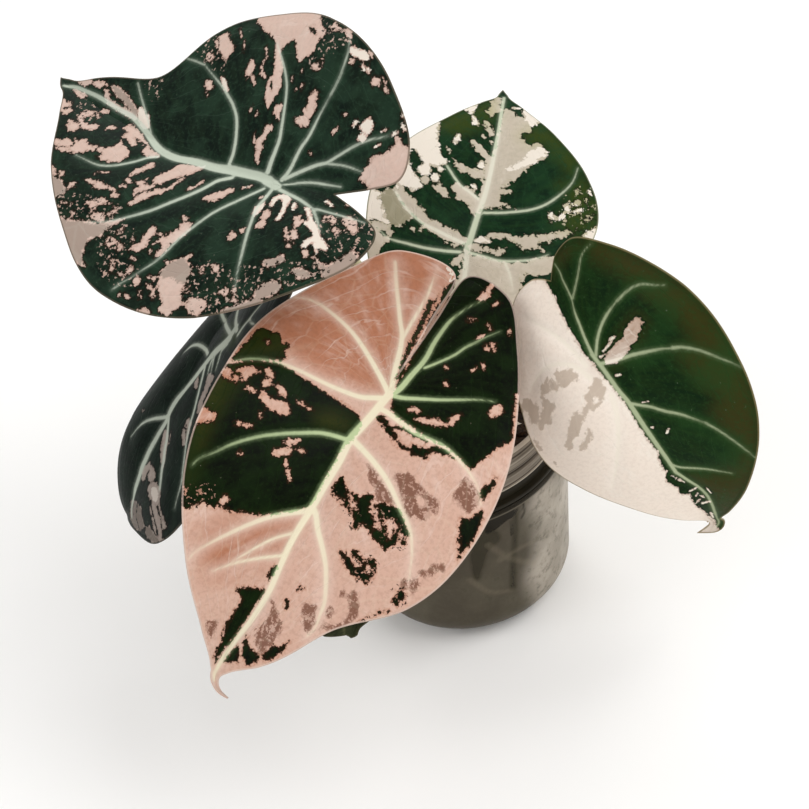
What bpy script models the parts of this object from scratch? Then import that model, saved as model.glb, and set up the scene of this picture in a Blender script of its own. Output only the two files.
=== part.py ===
"""Potted alocasia: six shield leaves on petioles, in a ridged nursery pot inside a see-through cup.

Sizes are in millimetres and turned into metres as the meshes are made. The origin is the centre of
the cup's flat foot, +Z is up, and the side with the largest leaf faces -Y.
"""
import math

import bmesh
import bpy
import numpy as np
from mathutils import Vector

MM = 0.001

# Outer cup: rounded foot, tapered thin wall, soft lip
CUP_FOOT_RADIUS = 22.7
CUP_FOOT_ROUNDING = 11.7
CUP_LIP_RADIUS = 38.3
CUP_HEIGHT = 58.9
CUP_WALL = 1.4
CUP_FLOOR = 2.5

# Inner pot: hangs by its bead on the cup's lip, with a ridged collar above
SEAT_GAP = 0.3
POT_WALL = 1.2
POT_FLOOR_HEIGHT = 22.0
POT_FLOOR_RADIUS = 31.2
POT_FLOOR_CHAMFER = 1.0
POT_NECK_RADIUS = 36.0
POT_BEAD_RADIUS = 38.0
POT_BEAD_THICKNESS = 1.2
COLLAR_RADIUS = 37.1
COLLAR_BOTTOM = 64.7
COLLAR_CHAMFER = 0.4
COLLAR_GROOVES = (69.6, 74.6)
COLLAR_GROOVE_DEPTH = 0.6
RIM_RADIUS = 36.7
RIM_HEIGHT = 77.1
DRAIN_HOLE_RADIUS = 3.0
DRAIN_HOLE_CIRCLE = 18.0
DRAIN_HOLE_COUNT = 6

# Potting mix
MIX_EDGE_HEIGHT = 69.0
MIX_MIDDLE_HEIGHT = 71.0

# Stem base and the feet of the petioles
STEM_RADIUS = 6.0
STEM_BOTTOM = 57.0
STEM_TOP = 75.5
# Its outline from the bottom up, as shares of its radius and of its height
STEM_OUTLINE = (
    (0.0, 0.0), (0.6, 0.03), (1.0, 0.22), (0.93, 0.38), (1.0, 0.54), (1.0, 0.78),
    (0.8, 0.92), (0.4, 0.98), (0.0, 1.0),
)
FOOT_CIRCLE = 10.8
FOOT_BOTTOM = 62.0
FOOT_STRAIGHT = 10.0
PETIOLE_FOOT_RADIUS = 2.4
PETIOLE_TOP_RADIUS = 1.4
PETIOLE_STEPS = 14

# Roots that come out of the drain holes into the cup
ROOT_RADIUS = 0.8
ROOT_STEPS = 18
# Each root's drain hole, its turn round the foot in degrees, the circle it ends on and its height there
ROOTS = ((5, 75, 28.5, 6.0), (0, -35, 25.0, 9.5), (3, 95, 27.5, 5.5))

# Facets round the pots and round the holes, and how far a cutter reaches past the wall it cuts
ROUND_STEPS = 36
HOLE_STEPS = 20
CUT_SPARE = 2.0

# Blade
BLADE_THICKNESS = 0.9

# One half of a flat blade, as fractions of the length from the petiole to the tip. Each row is a
# vein number, the distance across and the distance along at which that vein meets the margin.
# Veins 1 to 3 start at the petiole, the others along the midrib, and 7 is the drawn-out tip.
MARGIN = (
    (1.0, 0.190, -0.385), (1.5, 0.310, -0.240), (2.0, 0.400, -0.060), (2.5, 0.450, 0.110),
    (3.0, 0.457, 0.270), (3.5, 0.430, 0.400), (4.0, 0.378, 0.515), (5.0, 0.240, 0.720),
    (6.0, 0.095, 0.880), (6.5, 0.030, 0.960),
)
LOBE_REACH = 0.395
# Where each vein leaves the midrib, as a fraction of the length, and how much it bows forward
VEIN_START = ((1.0, 0.0), (2.0, 0.012), (3.0, 0.05), (4.0, 0.19), (5.0, 0.43), (6.0, 0.70))
VEIN_BOW = (
    (0.0, 0.0), (1.0, 0.04), (2.0, 0.18), (3.0, 0.20), (4.0, 0.16), (5.0, 0.12), (6.0, 0.06), (7.0, 0.0),
)
# The veins and the shares of the way across at which the sheet has its corners
VEIN_STEPS = (
    0.0, 0.25, 0.5, 0.75, 1.0, 1.33, 1.67, 2.0, 2.5, 3.0, 3.5, 4.0, 4.5, 5.0, 5.5, 6.0, 6.5, 6.75, 6.88, 7.0,
)
ACROSS_STEPS = (0.0, 0.25, 0.5, 0.75, 1.0)

# The six leaves. The joint is where the petiole meets the blade, in millimetres. Heading, dip and
# bank turn the blade, in degrees: heading is the way the tip points, dip is how far it points down
# there, bank lifts the right half. Sinus is how far from the petiole the lobes part, as a fraction
# of the length, and part is how wide they stand apart, 1 being a plain heart. Arch, tip_drop,
# lobe_drop, fold, cup, twist and sweep bend the blade, in radians. Point is the length and half width
# of the drawn-out tip, and tail its sideways and upward hook. Reach stretches veins 1 to 6 of a half.
# The pairs of part, fold, cup and reach are for the right and left half. Foot is the petiole's place
# round the stem base, in degrees, rise and shoulder are the lengths of its upright start and of its
# straight end under the blade.
LEAVES = {
    "front": dict(
        joint=(-13.5, -30.5, 109.7), heading=-128, dip=7, bank=20, length=95, width=0.97, lobe=1.12,
        sinus=0.06, part=(0.05, 0.35), arch=0.74, tip_drop=0.13, lobe_drop=-0.26,
        fold=(0.37, 0.30), cup=(0.19, 0.29), twist=0.22, sweep=(0.13, -0.02),
        tail=(-2.0, 0.0), point=(0.09, 0.012),
        reach=((0.98, 1.01, 0.97, 1.02, 1.03, 1.03), (0.99, 1.0, 1.04, 1.07, 0.97, 1.10)),
        foot=-108, rise=26, shoulder=14, colour=(0.30, 0.20, 0.15)),
    "upper_left": dict(
        joint=(-32.1, 8.6, 159.5), heading=138, dip=3, bank=25, length=100, width=1.02, lobe=0.98,
        sinus=0.21, part=(1.0, 1.0), arch=0.0, tip_drop=0.15, lobe_drop=0.24,
        fold=(0.26, 0.31), cup=(0.18, 0.43), twist=-0.07, sweep=(0.43, -0.07),
        tail=(0.2, 0.0), point=(0.05, 0.009),
        reach=((0.97, 1.15, 1.03, 0.95, 0.69, 0.86), (0.98, 1.08, 1.06, 0.99, 0.99, 0.97)),
        foot=120, rise=46, shoulder=44, colour=(0.10, 0.11, 0.08)),
    "back": dict(
        joint=(18.4, 35.9, 102.2), heading=56, dip=-16, bank=-26, length=78, width=0.99, lobe=1.0,
        sinus=0.18, part=(0.3, 0.5), arch=0.44, tip_drop=0.11, lobe_drop=0.25,
        fold=(0.19, 0.17), cup=(0.28, 0.37), twist=0.05, sweep=(-0.28, -0.01),
        tail=(0.1, 0.0), point=(0.06, 0.009),
        reach=((1.02, 0.91, 1.06, 1.04, 0.98, 0.96), (1.0, 1.03, 1.0, 0.99, 0.98, 1.02)),
        foot=48, rise=20, shoulder=24, colour=(0.16, 0.20, 0.12)),
    "right": dict(
        joint=(44.5, -34.7, 108.9), heading=-61, dip=38, bank=-54, length=73, width=1.0, lobe=1.06,
        sinus=0.33, part=(1.0, 1.0), arch=1.0, tip_drop=0.07, lobe_drop=0.47,
        fold=(0.11, 0.23), cup=(0.34, 0.28), twist=0.19, sweep=(0.59, -0.02),
        tail=(1.2, 1.2), point=(0.12, 0.035),
        reach=((0.97, 0.98, 1.01, 1.01, 1.02, 1.1), (1.0, 1.13, 1.04, 1.01, 0.99, 1.0)),
        foot=-32, rise=26, shoulder=26, colour=(0.35, 0.33, 0.26)),
    "lower_left": dict(
        joint=(-60.8, 17.2, 106.4), heading=-153, dip=36, bank=-19, length=83, width=0.91, lobe=1.1,
        sinus=0.30, part=(0.1, 0.1), arch=0.43, tip_drop=0.22, lobe_drop=0.60,
        fold=(0.24, 0.16), cup=(1.43, 0.39), twist=0.74, sweep=(0.22, 0.95),
        tail=(0.2, 0.0), point=(0.06, 0.009),
        reach=((1.0, 1.0, 0.94, 0.95, 1.01, 1.01), (1.1, 1.4, 1.05, 1.0, 1.07, 0.98)),
        foot=176, rise=24, shoulder=28, colour=(0.06, 0.07, 0.06)),
    "lower_front": dict(
        joint=(-18.0, -37.0, 90.7), heading=-107, dip=28, bank=29, length=53, width=0.81, lobe=0.6,
        sinus=0.15, part=(1.0, 1.0), arch=0.72, tip_drop=0.19, lobe_drop=0.25,
        fold=(0.20, 0.20), cup=(0.35, 0.35), twist=0.0, sweep=(0.09, 0.02),
        tail=(0.0, 0.0), point=(0.03, 0.03),
        reach=((1.0, 1.0, 1.0, 1.0, 1.1, 1.9), (1.0, 1.0, 1.0, 0.95, 0.85, 0.95)),
        foot=-148, rise=11, shoulder=14, colour=(0.10, 0.12, 0.06)),
}

CUP_COLOUR = (0.33, 0.32, 0.29)
POT_COLOUR = (0.14, 0.13, 0.11)
MIX_COLOUR = (0.03, 0.025, 0.02)
STEM_COLOUR = (0.22, 0.20, 0.10)
PETIOLE_COLOUR = (0.45, 0.42, 0.28)
ROOT_COLOUR = (0.50, 0.44, 0.33)


def clear_scene():
    """Removes every object that the scene starts with."""
    for thing in list(bpy.data.objects):
        bpy.data.objects.remove(thing, do_unlink=True)


def material(name, colour, roughness, alpha=1.0):
    """A Principled material of one colour."""
    made = bpy.data.materials.new(name)
    made.use_nodes = True
    shader = made.node_tree.nodes["Principled BSDF"]
    shader.inputs["Base Color"].default_value = (*colour, 1.0)
    shader.inputs["Roughness"].default_value = roughness
    shader.inputs["Metallic"].default_value = 0.0
    shader.inputs["Alpha"].default_value = alpha
    made.diffuse_color = (*colour, alpha)
    return made


def finish(name, bm, surface):
    """Turns a bmesh in millimetres into a smooth-shaded object in metres."""
    bmesh.ops.recalc_face_normals(bm, faces=bm.faces)
    bmesh.ops.scale(bm, vec=(MM, MM, MM), verts=bm.verts)
    mesh = bpy.data.meshes.new(name)
    bm.to_mesh(mesh)
    bm.free()
    mesh.shade_smooth()
    mesh.set_sharp_from_angle(angle=math.radians(40))
    mesh.materials.append(surface)
    made = bpy.data.objects.new(name, mesh)
    bpy.context.collection.objects.link(made)
    return made


def arc(centre, radius, start, end, steps):
    """Points of an arc in the (radius, height) plane, angles in degrees."""
    angles = [math.radians(start + (end - start) * i / steps) for i in range(steps + 1)]
    return [(centre[0] + radius * math.cos(a), centre[1] + radius * math.sin(a)) for a in angles]


def turned(name, profile, surface, steps=ROUND_STEPS):
    """A solid of revolution from a profile that starts and ends on the axis."""
    bm = bmesh.new()
    verts = [bm.verts.new((radius, 0.0, height)) for radius, height in profile]
    edges = [bm.edges.new(pair) for pair in zip(verts, verts[1:])]
    bmesh.ops.spin(bm, geom=verts + edges, axis=(0, 0, 1), cent=(0, 0, 0), angle=math.tau,
                   steps=steps, use_merge=True)
    bmesh.ops.remove_doubles(bm, verts=bm.verts, dist=0.001)
    return finish(name, bm, surface)


def drilled(solid, holes):
    """Cuts upright round holes, each given as (x, y, bottom, top, radius)."""
    for number, (x, y, bottom, top, radius) in enumerate(holes):
        bm = bmesh.new()
        bmesh.ops.create_cone(bm, cap_ends=True, segments=HOLE_STEPS, radius1=radius, radius2=radius,
                              depth=top - bottom)
        bmesh.ops.translate(bm, vec=(x, y, (top + bottom) / 2), verts=bm.verts)
        cutter = finish(f"{solid.name}_cutter_{number}", bm, solid.data.materials[0])
        cutter.hide_render = True
        cutter.display_type = "WIRE"
        cut = solid.modifiers.new(f"hole {number}", "BOOLEAN")
        cut.operation = "DIFFERENCE"
        cut.solver = "EXACT"
        cut.object = cutter


def tube(name, points, radii, surface):
    """A round tube with closed ends along points in millimetres."""
    curve = bpy.data.curves.new(name, "CURVE")
    curve.dimensions = "3D"
    curve.bevel_depth = MM
    curve.bevel_resolution = 2
    curve.use_fill_caps = True
    spline = curve.splines.new("POLY")
    spline.points.add(len(points) - 1)
    for knot, point, radius in zip(spline.points, points, radii):
        knot.co = (*(Vector(point) * MM), 1.0)
        knot.radius = radius
    spline.use_smooth = True
    curve.materials.append(surface)
    made = bpy.data.objects.new(name, curve)
    bpy.context.collection.objects.link(made)
    return made


def make_cup(surface):
    """The see-through cup, 0.3 mm clear of everything inside it."""
    outer = arc((CUP_FOOT_RADIUS, CUP_FOOT_ROUNDING), CUP_FOOT_ROUNDING, -90, 0, 6)
    lip = arc((CUP_LIP_RADIUS - CUP_WALL / 2, CUP_HEIGHT - CUP_WALL / 2), CUP_WALL / 2, 0, 180, 4)
    inner_rounding = CUP_FOOT_ROUNDING - CUP_WALL
    inner = arc((CUP_FOOT_RADIUS, CUP_FLOOR + inner_rounding), inner_rounding, 0, -90, 6)
    return turned("outer_cup", [(0, 0)] + outer + lip + inner + [(0, CUP_FLOOR)], surface)


def pot_inside_radius(height):
    """Inside radius of the inner pot at a height."""
    low = POT_FLOOR_RADIUS - POT_WALL
    high = POT_NECK_RADIUS - POT_WALL
    share = (height - POT_FLOOR_HEIGHT) / (RIM_HEIGHT - POT_FLOOR_HEIGHT)
    return low + share * (high - low)


def make_inner_pot(surface):
    """The nursery pot: tapered wall, bead on the cup's lip, grooved collar, drain holes."""
    bead_bottom = CUP_HEIGHT + SEAT_GAP
    bead_middle = bead_bottom + POT_BEAD_THICKNESS / 2
    bead_centre = POT_BEAD_RADIUS - POT_BEAD_THICKNESS / 2
    profile = [(0, POT_FLOOR_HEIGHT), (POT_FLOOR_RADIUS - POT_FLOOR_CHAMFER, POT_FLOOR_HEIGHT)]
    profile += [(POT_FLOOR_RADIUS, POT_FLOOR_HEIGHT + POT_FLOOR_CHAMFER)]
    profile += [(POT_NECK_RADIUS, bead_bottom)]
    profile += arc((bead_centre, bead_middle), POT_BEAD_THICKNESS / 2, -60, 60, 2)
    profile += [(POT_NECK_RADIUS, bead_bottom + POT_BEAD_THICKNESS), (POT_NECK_RADIUS, COLLAR_BOTTOM)]
    profile += [(COLLAR_RADIUS - COLLAR_CHAMFER, COLLAR_BOTTOM)]
    profile += [(COLLAR_RADIUS, COLLAR_BOTTOM + COLLAR_CHAMFER)]
    for groove in COLLAR_GROOVES:
        share = (groove - COLLAR_BOTTOM) / (RIM_HEIGHT - COLLAR_BOTTOM)
        radius = COLLAR_RADIUS + share * (RIM_RADIUS - COLLAR_RADIUS)
        profile += [(radius, groove - COLLAR_GROOVE_DEPTH), (radius - COLLAR_GROOVE_DEPTH, groove)]
        profile += [(radius, groove + COLLAR_GROOVE_DEPTH)]
    rim_rounding = (RIM_RADIUS - pot_inside_radius(RIM_HEIGHT)) / 2
    profile += arc((RIM_RADIUS - rim_rounding, RIM_HEIGHT - rim_rounding), rim_rounding, 0, 180, 4)
    floor_top = POT_FLOOR_HEIGHT + POT_WALL
    profile += [(pot_inside_radius(floor_top), floor_top), (0, floor_top)]
    pot = turned("inner_pot", profile, surface)
    bottom = POT_FLOOR_HEIGHT - CUT_SPARE
    top = floor_top + CUT_SPARE
    drilled(pot, [(x, y, bottom, top, DRAIN_HOLE_RADIUS) for x, y in drain_holes()])
    return pot


def drain_holes():
    """Centres of the drain holes, evenly round a circle."""
    angles = [math.tau * i / DRAIN_HOLE_COUNT for i in range(DRAIN_HOLE_COUNT)]
    return [(DRAIN_HOLE_CIRCLE * math.cos(a), DRAIN_HOLE_CIRCLE * math.sin(a)) for a in angles]


def foot_place(leaf):
    """Where a petiole comes out of the potting mix."""
    angle = math.radians(leaf["foot"])
    return FOOT_CIRCLE * math.cos(angle), FOOT_CIRCLE * math.sin(angle)


def make_mix(surface):
    """The potting mix, with a plain hole for the stem base and one for each petiole."""
    bottom = POT_FLOOR_HEIGHT + POT_WALL + SEAT_GAP
    edge = pot_inside_radius(MIX_EDGE_HEIGHT) - SEAT_GAP
    swell = MIX_MIDDLE_HEIGHT - MIX_EDGE_HEIGHT
    profile = [(0, bottom), (pot_inside_radius(bottom) - SEAT_GAP, bottom), (edge, MIX_EDGE_HEIGHT)]
    for share in (0.85, 0.6):
        profile.append((edge * share, MIX_EDGE_HEIGHT + swell * math.cos(share * math.pi / 2)))
    profile.append((0, MIX_MIDDLE_HEIGHT))
    mix = turned("potting_mix", profile, surface)
    top = MIX_MIDDLE_HEIGHT + CUT_SPARE
    holes = [(0.0, 0.0, STEM_BOTTOM - SEAT_GAP, top, STEM_RADIUS + SEAT_GAP)]
    for leaf in LEAVES.values():
        x, y = foot_place(leaf)
        holes.append((x, y, FOOT_BOTTOM - SEAT_GAP, top, PETIOLE_FOOT_RADIUS + SEAT_GAP))
    drilled(mix, holes)
    return mix


def make_stem_base(surface):
    """The short ringed rhizome in the middle of the pot."""
    height = STEM_TOP - STEM_BOTTOM
    profile = [(STEM_RADIUS * out, STEM_BOTTOM + height * up) for out, up in STEM_OUTLINE]
    return turned("stem_base", profile, surface, HOLE_STEPS)


def make_roots(surface):
    """Three roots out of the drain holes, each bending round the cup's foot."""
    holes = drain_holes()
    top = POT_FLOOR_HEIGHT + POT_WALL
    for number, (hole, turn, circle, low) in enumerate(ROOTS, start=1):
        start = math.degrees(math.atan2(holes[hole][1], holes[hole][0]))
        points = []
        for step in range(ROOT_STEPS + 1):
            along = step / ROOT_STEPS
            fall = math.sin(min(1.0, along * 1.6) * math.pi / 2)
            reach = DRAIN_HOLE_CIRCLE + (circle - DRAIN_HOLE_CIRCLE) * max(0.0, fall - 0.35) / 0.65
            angle = math.radians(start + turn * max(0.0, along - 0.25) / 0.75)
            height = top - (top - low) * fall + 1.2 * math.sin(along * 9) * max(0.0, along - 0.4)
            points.append((reach * math.cos(angle), reach * math.sin(angle), height))
        radii = [ROOT_RADIUS * (1 - 0.5 * step / ROOT_STEPS) for step in range(ROOT_STEPS + 1)]
        tube(f"root_{number}", points, radii, surface)


def hermite(knots, places, column):
    """A smooth curve through the knots' values, read at places."""
    knots = np.array(knots, float)
    x, y = knots[:, 0], knots[:, column]
    slope = np.gradient(y, x)
    i = np.clip(np.searchsorted(x, places, side="right") - 1, 0, len(x) - 2)
    h = x[i + 1] - x[i]
    s = (places - x[i]) / h
    rising = (2 * s**3 - 3 * s**2 + 1) * y[i] + (s**3 - 2 * s**2 + s) * h * slope[i]
    return rising + (3 * s**2 - 2 * s**3) * y[i + 1] + (s**3 - s**2) * h * slope[i + 1]


def flat_half(leaf, vein, across, side):
    """Flat place of a point: vein is 0 to 7, across is 0 at the midrib and 1 at the margin."""
    sinus = leaf["sinus"]
    part = leaf["part"][0 if side > 0 else 1]
    inner_edge = -(sinus + (LOBE_REACH - sinus) * 0.58)
    lobe = ((0.0, 0.0, -sinus), (0.3, 0.04 * part, inner_edge), (0.6, 0.085 * part, -LOBE_REACH))
    tip_reach, tip_width = leaf["point"]
    tip = ((6.75, tip_width, 1.0), (7.0, 0.0, 1.0 + tip_reach))
    margin = lobe + MARGIN + tip
    out = hermite(margin, vein, 1) * leaf["width"]
    along = hermite(margin, vein, 2)
    along = np.where(along < 0, along * leaf["lobe"], along)
    start_knots = ((0.0, -sinus * leaf["lobe"]),) + VEIN_START + ((7.0, 1.0 + tip_reach),)
    start = np.interp(vein, *np.transpose(start_knots))
    reach = leaf["reach"][0 if side > 0 else 1]
    reach_knots = [(0, reach[0])] + [(i + 1, value) for i, value in enumerate(reach)] + [(7, 1.0)]
    stretch = hermite(reach_knots, vein, 1)
    out = out * stretch
    along = start + (along - start) * stretch
    bow = np.interp(vein, *np.transpose(VEIN_BOW))
    bend_out = out / 2 + bow * (along - start)
    bend_along = (along + start) / 2 - bow * out
    x = 2 * across * (1 - across) * bend_out + across**2 * out
    y = (1 - across)**2 * start + 2 * across * (1 - across) * bend_along + across**2 * along
    return side * x, y


def midrib_path(leaf):
    """The midrib as a bent line: distance along, its slope and sideways turn, and its place."""
    along = np.linspace(-0.8, 1.2, 801)
    ahead = np.clip(along, 0, None)
    slope = -leaf["arch"] * ahead - leaf["tip_drop"] * np.clip((ahead - 0.85) / 0.15, 0, 1)**2
    slope += np.where(along < 0, -leaf["lobe_drop"] * along / 0.4, 0)
    turn = leaf["sweep"][0] * ahead + leaf["sweep"][1] * np.clip((ahead - 0.5) / 0.5, 0, 1)
    hook = np.clip((ahead - 0.98) / 0.08, 0, 1)
    turn += leaf["tail"][0] * hook
    slope += leaf["tail"][1] * hook
    step = along[1] - along[0]

    def summed(rate):
        total = np.concatenate([[0], np.cumsum((rate[1:] + rate[:-1]) / 2 * step)])
        return total - np.interp(0, along, total)

    sideways = summed(np.cos(slope) * np.sin(turn))
    forwards = summed(np.cos(slope) * np.cos(turn))
    return along, slope, turn, (sideways, forwards, summed(np.sin(slope)))


def bent(leaf, x, y):
    """Bends flat points into the blade's own frame, in lengths of the blade."""
    right = x > 0
    fold = np.where(right, *leaf["fold"])
    curl = np.where(right, *leaf["cup"]) / 0.45
    width = np.abs(x)
    out = np.sign(x) * (np.sin(fold) - np.sin(fold - curl * width)) / curl
    up = (np.cos(fold - curl * width) - np.cos(fold)) / curl
    out, up = (out * np.cos(leaf["twist"] * y) - up * np.sin(leaf["twist"] * y),
               out * np.sin(leaf["twist"] * y) + up * np.cos(leaf["twist"] * y))
    along, slope, turn, place = midrib_path(leaf)
    slope = np.interp(y, along, slope)
    turn = np.interp(y, along, turn)
    middle = np.stack([np.interp(y, along, part) for part in place], -1)
    ahead = np.stack([np.sin(turn) * np.cos(slope), np.cos(turn) * np.cos(slope), np.sin(slope)], -1)
    aside = np.stack([np.cos(turn), -np.sin(turn), 0 * turn], -1)
    above = np.cross(aside, ahead)
    return middle + out[..., None] * aside + up[..., None] * above


def blade_axes(leaf):
    """Unit vectors of the blade at the petiole: to its right, to its tip, and out of its upper face."""
    heading, dip, bank = (math.radians(leaf[key]) for key in ("heading", "dip", "bank"))
    ahead = np.array((math.cos(heading) * math.cos(dip), math.sin(heading) * math.cos(dip), -math.sin(dip)))
    level = np.array((math.sin(heading), -math.cos(heading), 0.0))
    upright = np.cross(level, ahead)
    aside = level * math.cos(bank) + upright * math.sin(bank)
    return aside, ahead, np.cross(aside, ahead)


def blade_points(leaf, vein, across, side):
    """Places of blade points in millimetres."""
    local = bent(leaf, *flat_half(leaf, vein, across, side))
    return np.array(leaf["joint"]) + leaf["length"] * local @ np.array(blade_axes(leaf))


def make_leaf(name, leaf, surface):
    """A blade: both halves as one sheet of triangles, thickened."""
    bm = bmesh.new()
    welded = {}
    veins, across = np.meshgrid(VEIN_STEPS, ACROSS_STEPS, indexing="ij")
    for side in (1, -1):
        grid = blade_points(leaf, veins, across, side)
        corners = []
        for row in grid:
            keys = [tuple(np.round(point, 3) + 0.0) for point in row]
            for key in keys:
                if key not in welded:
                    welded[key] = bm.verts.new(key)
            corners.append([welded[key] for key in keys])
        for low, high in zip(corners, corners[1:]):
            for a, b, c, d in zip(low, high, high[1:], low[1:]):
                for triangle in ((a, b, c), (a, c, d)):
                    if len(set(triangle)) == 3:
                        bm.faces.new(triangle if side > 0 else triangle[::-1])
    blade = finish(f"leaf_{name}", bm, surface)
    thick = blade.modifiers.new("thickness", "SOLIDIFY")
    thick.thickness = BLADE_THICKNESS * MM
    thick.offset = 0.0
    return blade


def make_petiole(name, leaf, surface):
    """A petiole: upright out of the potting mix, then curving to meet its blade from below."""
    x, y = foot_place(leaf)
    joint = Vector(leaf["joint"])
    down = -Vector(blade_axes(leaf)[2])
    bend = Vector((x, y, FOOT_BOTTOM + FOOT_STRAIGHT))
    top = joint + down * (BLADE_THICKNESS / 2 + SEAT_GAP)
    first = bend + Vector((0, 0, leaf["rise"]))
    second = joint + down * leaf["shoulder"]
    points = [Vector((x, y, FOOT_BOTTOM))]
    radii = [PETIOLE_FOOT_RADIUS]
    for step in range(PETIOLE_STEPS + 1):
        t = step / PETIOLE_STEPS
        low = bend * (1 - t)**3 + first * 3 * t * (1 - t)**2
        high = second * 3 * t**2 * (1 - t) + top * t**3
        points.append(low + high)
        radii.append(PETIOLE_FOOT_RADIUS + (PETIOLE_TOP_RADIUS - PETIOLE_FOOT_RADIUS) * min(1.0, t * 1.3))
    return tube(f"petiole_{name}", points, radii, surface)


def build():
    """Makes every piece."""
    clear_scene()
    make_cup(material("smoke_cup", CUP_COLOUR, 0.3, 0.55))
    make_inner_pot(material("pot_plastic", POT_COLOUR, 0.4))
    make_mix(material("potting_mix", MIX_COLOUR, 0.95))
    make_stem_base(material("stem_skin", STEM_COLOUR, 0.7))
    make_roots(material("root_skin", ROOT_COLOUR, 0.7))
    petiole_skin = material("petiole_skin", PETIOLE_COLOUR, 0.5)
    for name, leaf in LEAVES.items():
        make_leaf(name, leaf, material(f"blade_{name}", leaf["colour"], 0.55))
        make_petiole(name, leaf, petiole_skin)


build()
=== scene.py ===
# %% [markdown]
# # A potted alocasia, leaf by leaf
# The plant has six shield-shaped leaves. Each one hangs from a long stalk, the petiole, which grows
# out of a short stem in a nursery pot. The nursery pot hangs by its rim in a see-through grey cup.
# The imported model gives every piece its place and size. Here each plain leaf gets a finer one of the
# same form, with sunken veins, swollen panels between them and its own markings.

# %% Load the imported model
import math
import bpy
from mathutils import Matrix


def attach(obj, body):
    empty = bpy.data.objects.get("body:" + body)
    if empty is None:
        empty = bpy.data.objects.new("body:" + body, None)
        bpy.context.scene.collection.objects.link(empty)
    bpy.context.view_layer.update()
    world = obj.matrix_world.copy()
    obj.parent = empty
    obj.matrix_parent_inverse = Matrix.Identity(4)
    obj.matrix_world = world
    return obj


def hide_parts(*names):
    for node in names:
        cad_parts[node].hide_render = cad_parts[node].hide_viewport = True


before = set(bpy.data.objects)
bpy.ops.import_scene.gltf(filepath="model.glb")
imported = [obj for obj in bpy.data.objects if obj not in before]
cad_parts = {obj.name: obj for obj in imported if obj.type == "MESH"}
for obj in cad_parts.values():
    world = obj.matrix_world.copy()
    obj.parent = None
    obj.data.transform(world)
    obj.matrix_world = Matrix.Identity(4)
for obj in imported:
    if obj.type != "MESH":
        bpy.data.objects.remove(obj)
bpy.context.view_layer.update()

from types import SimpleNamespace

import bpy
import numpy as np
from mathutils import Matrix, Vector

bpy.ops.object.select_all(action="DESELECT")
print("solids in the model:", len(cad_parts))
MM = 0.001

# %% [markdown]
# ## The camera
# The plant was looked down on from about 41 degrees, with the picture turned a little, so the pot
# leans to the right in it. A 70 mm lens at half a metre gives the same perspective. The same numbers
# tell later where a point of a leaf falls in the picture, so that its markings can be drawn there.

# %% Camera
TILT = 40.7
LEAN = 12.5
LENS = 70.0
SENSOR = 36.0
EYE = Vector((-0.0103, -0.3678, 0.3929))
PICTURE = 809

turned = Matrix.Rotation(math.radians(90 - TILT), 4, "X") @ Matrix.Rotation(math.radians(-LEAN), 4, "Z")
bpy.ops.object.camera_add()
camera = bpy.context.object
camera.name = "camera"
camera.data.lens = LENS
camera.data.sensor_width = SENSOR
camera.matrix_world = Matrix.Translation(EYE) @ turned
bpy.context.scene.camera = camera


def in_picture(points):
    """Pixel across, pixel down and distance in metres of points, as seen from the camera."""
    seen = (np.asarray(points) - np.array(EYE)) @ np.array(turned.to_3x3())
    pixels = PICTURE * LENS / SENSOR / -seen[..., 2]
    return PICTURE / 2 + seen[..., 0] * pixels, PICTURE / 2 - seen[..., 1] * pixels, -seen[..., 2]


print("camera at", tuple(round(v, 3) for v in EYE))

# %% [markdown]
# ## Light
# The photograph has soft light from all sides, a little stronger from the upper right. A pale sky,
# one large lamp and two weaker ones give that, and no shadow gets a hard edge.

# %% Light
SKY = 0.55
# Place and width of each lamp in metres, and its power in watts
LAMPS = {
    "lamp_right": ((0.75, -0.25, 0.95), 0.9, 7.5),
    "lamp_left": ((-0.8, -0.35, 0.7), 0.9, 3.5),
    "lamp_back": ((-0.1, 0.9, 0.9), 0.8, 3.5),
}
# The lamps point at the middle of the leaves
AIM = Vector((0, 0, 0.09))

bpy.context.scene.view_settings.view_transform = "Standard"
sky = bpy.data.worlds.new("pale sky")
sky.use_nodes = True
sky.node_tree.nodes["Background"].inputs["Color"].default_value = (1.0, 1.0, 1.0, 1.0)
sky.node_tree.nodes["Background"].inputs["Strength"].default_value = SKY
bpy.context.scene.world = sky
for lamp_name, (place, size, watts) in LAMPS.items():
    bpy.ops.object.light_add(type="AREA", location=place)
    lamp = bpy.context.object
    lamp.name = lamp_name
    lamp.data.shape = "DISK"
    lamp.data.size = size
    lamp.data.energy = watts
    lamp.rotation_euler = (AIM - Vector(place)).to_track_quat("-Z", "Y").to_euler()
print("lamps:", ", ".join(LAMPS))

# %% [markdown]
# ## Writing shader sums as plain expressions
# A material's nodes are easier to read as sums. `Wire` stands for one output of a node, and each sum
# on it adds a Math node. `Paint` is one material: its `node` method adds any other node.

# %% Wire and Paint
class Wire:
    """One output of a node, for use in sums."""

    def __init__(self, paint, socket):
        self.paint = paint
        self.socket = socket

    def sum(self, operation, *others):
        return self.paint.node("ShaderNodeMath", {"operation": operation}, dict(enumerate((self,) + others)))

    def __add__(self, other):
        return self.sum("ADD", other)

    def __mul__(self, other):
        return self.sum("MULTIPLY", other)

    def __sub__(self, other):
        return self.sum("SUBTRACT", other)

    def __rsub__(self, other):
        return self.sum("MULTIPLY", -1.0) + other

    def __truediv__(self, other):
        return self.sum("DIVIDE", other)

    __radd__ = __add__
    __rmul__ = __mul__

    def step(self, low, high):
        """0 below low and 1 above high, with a soft change between."""
        inputs = {"Value": self, "From Min": low, "From Max": high}
        return self.paint.node("ShaderNodeMapRange", {"interpolation_type": "SMOOTHSTEP"}, inputs)

    def either(self, other):
        return self.sum("MAXIMUM", other)


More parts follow.
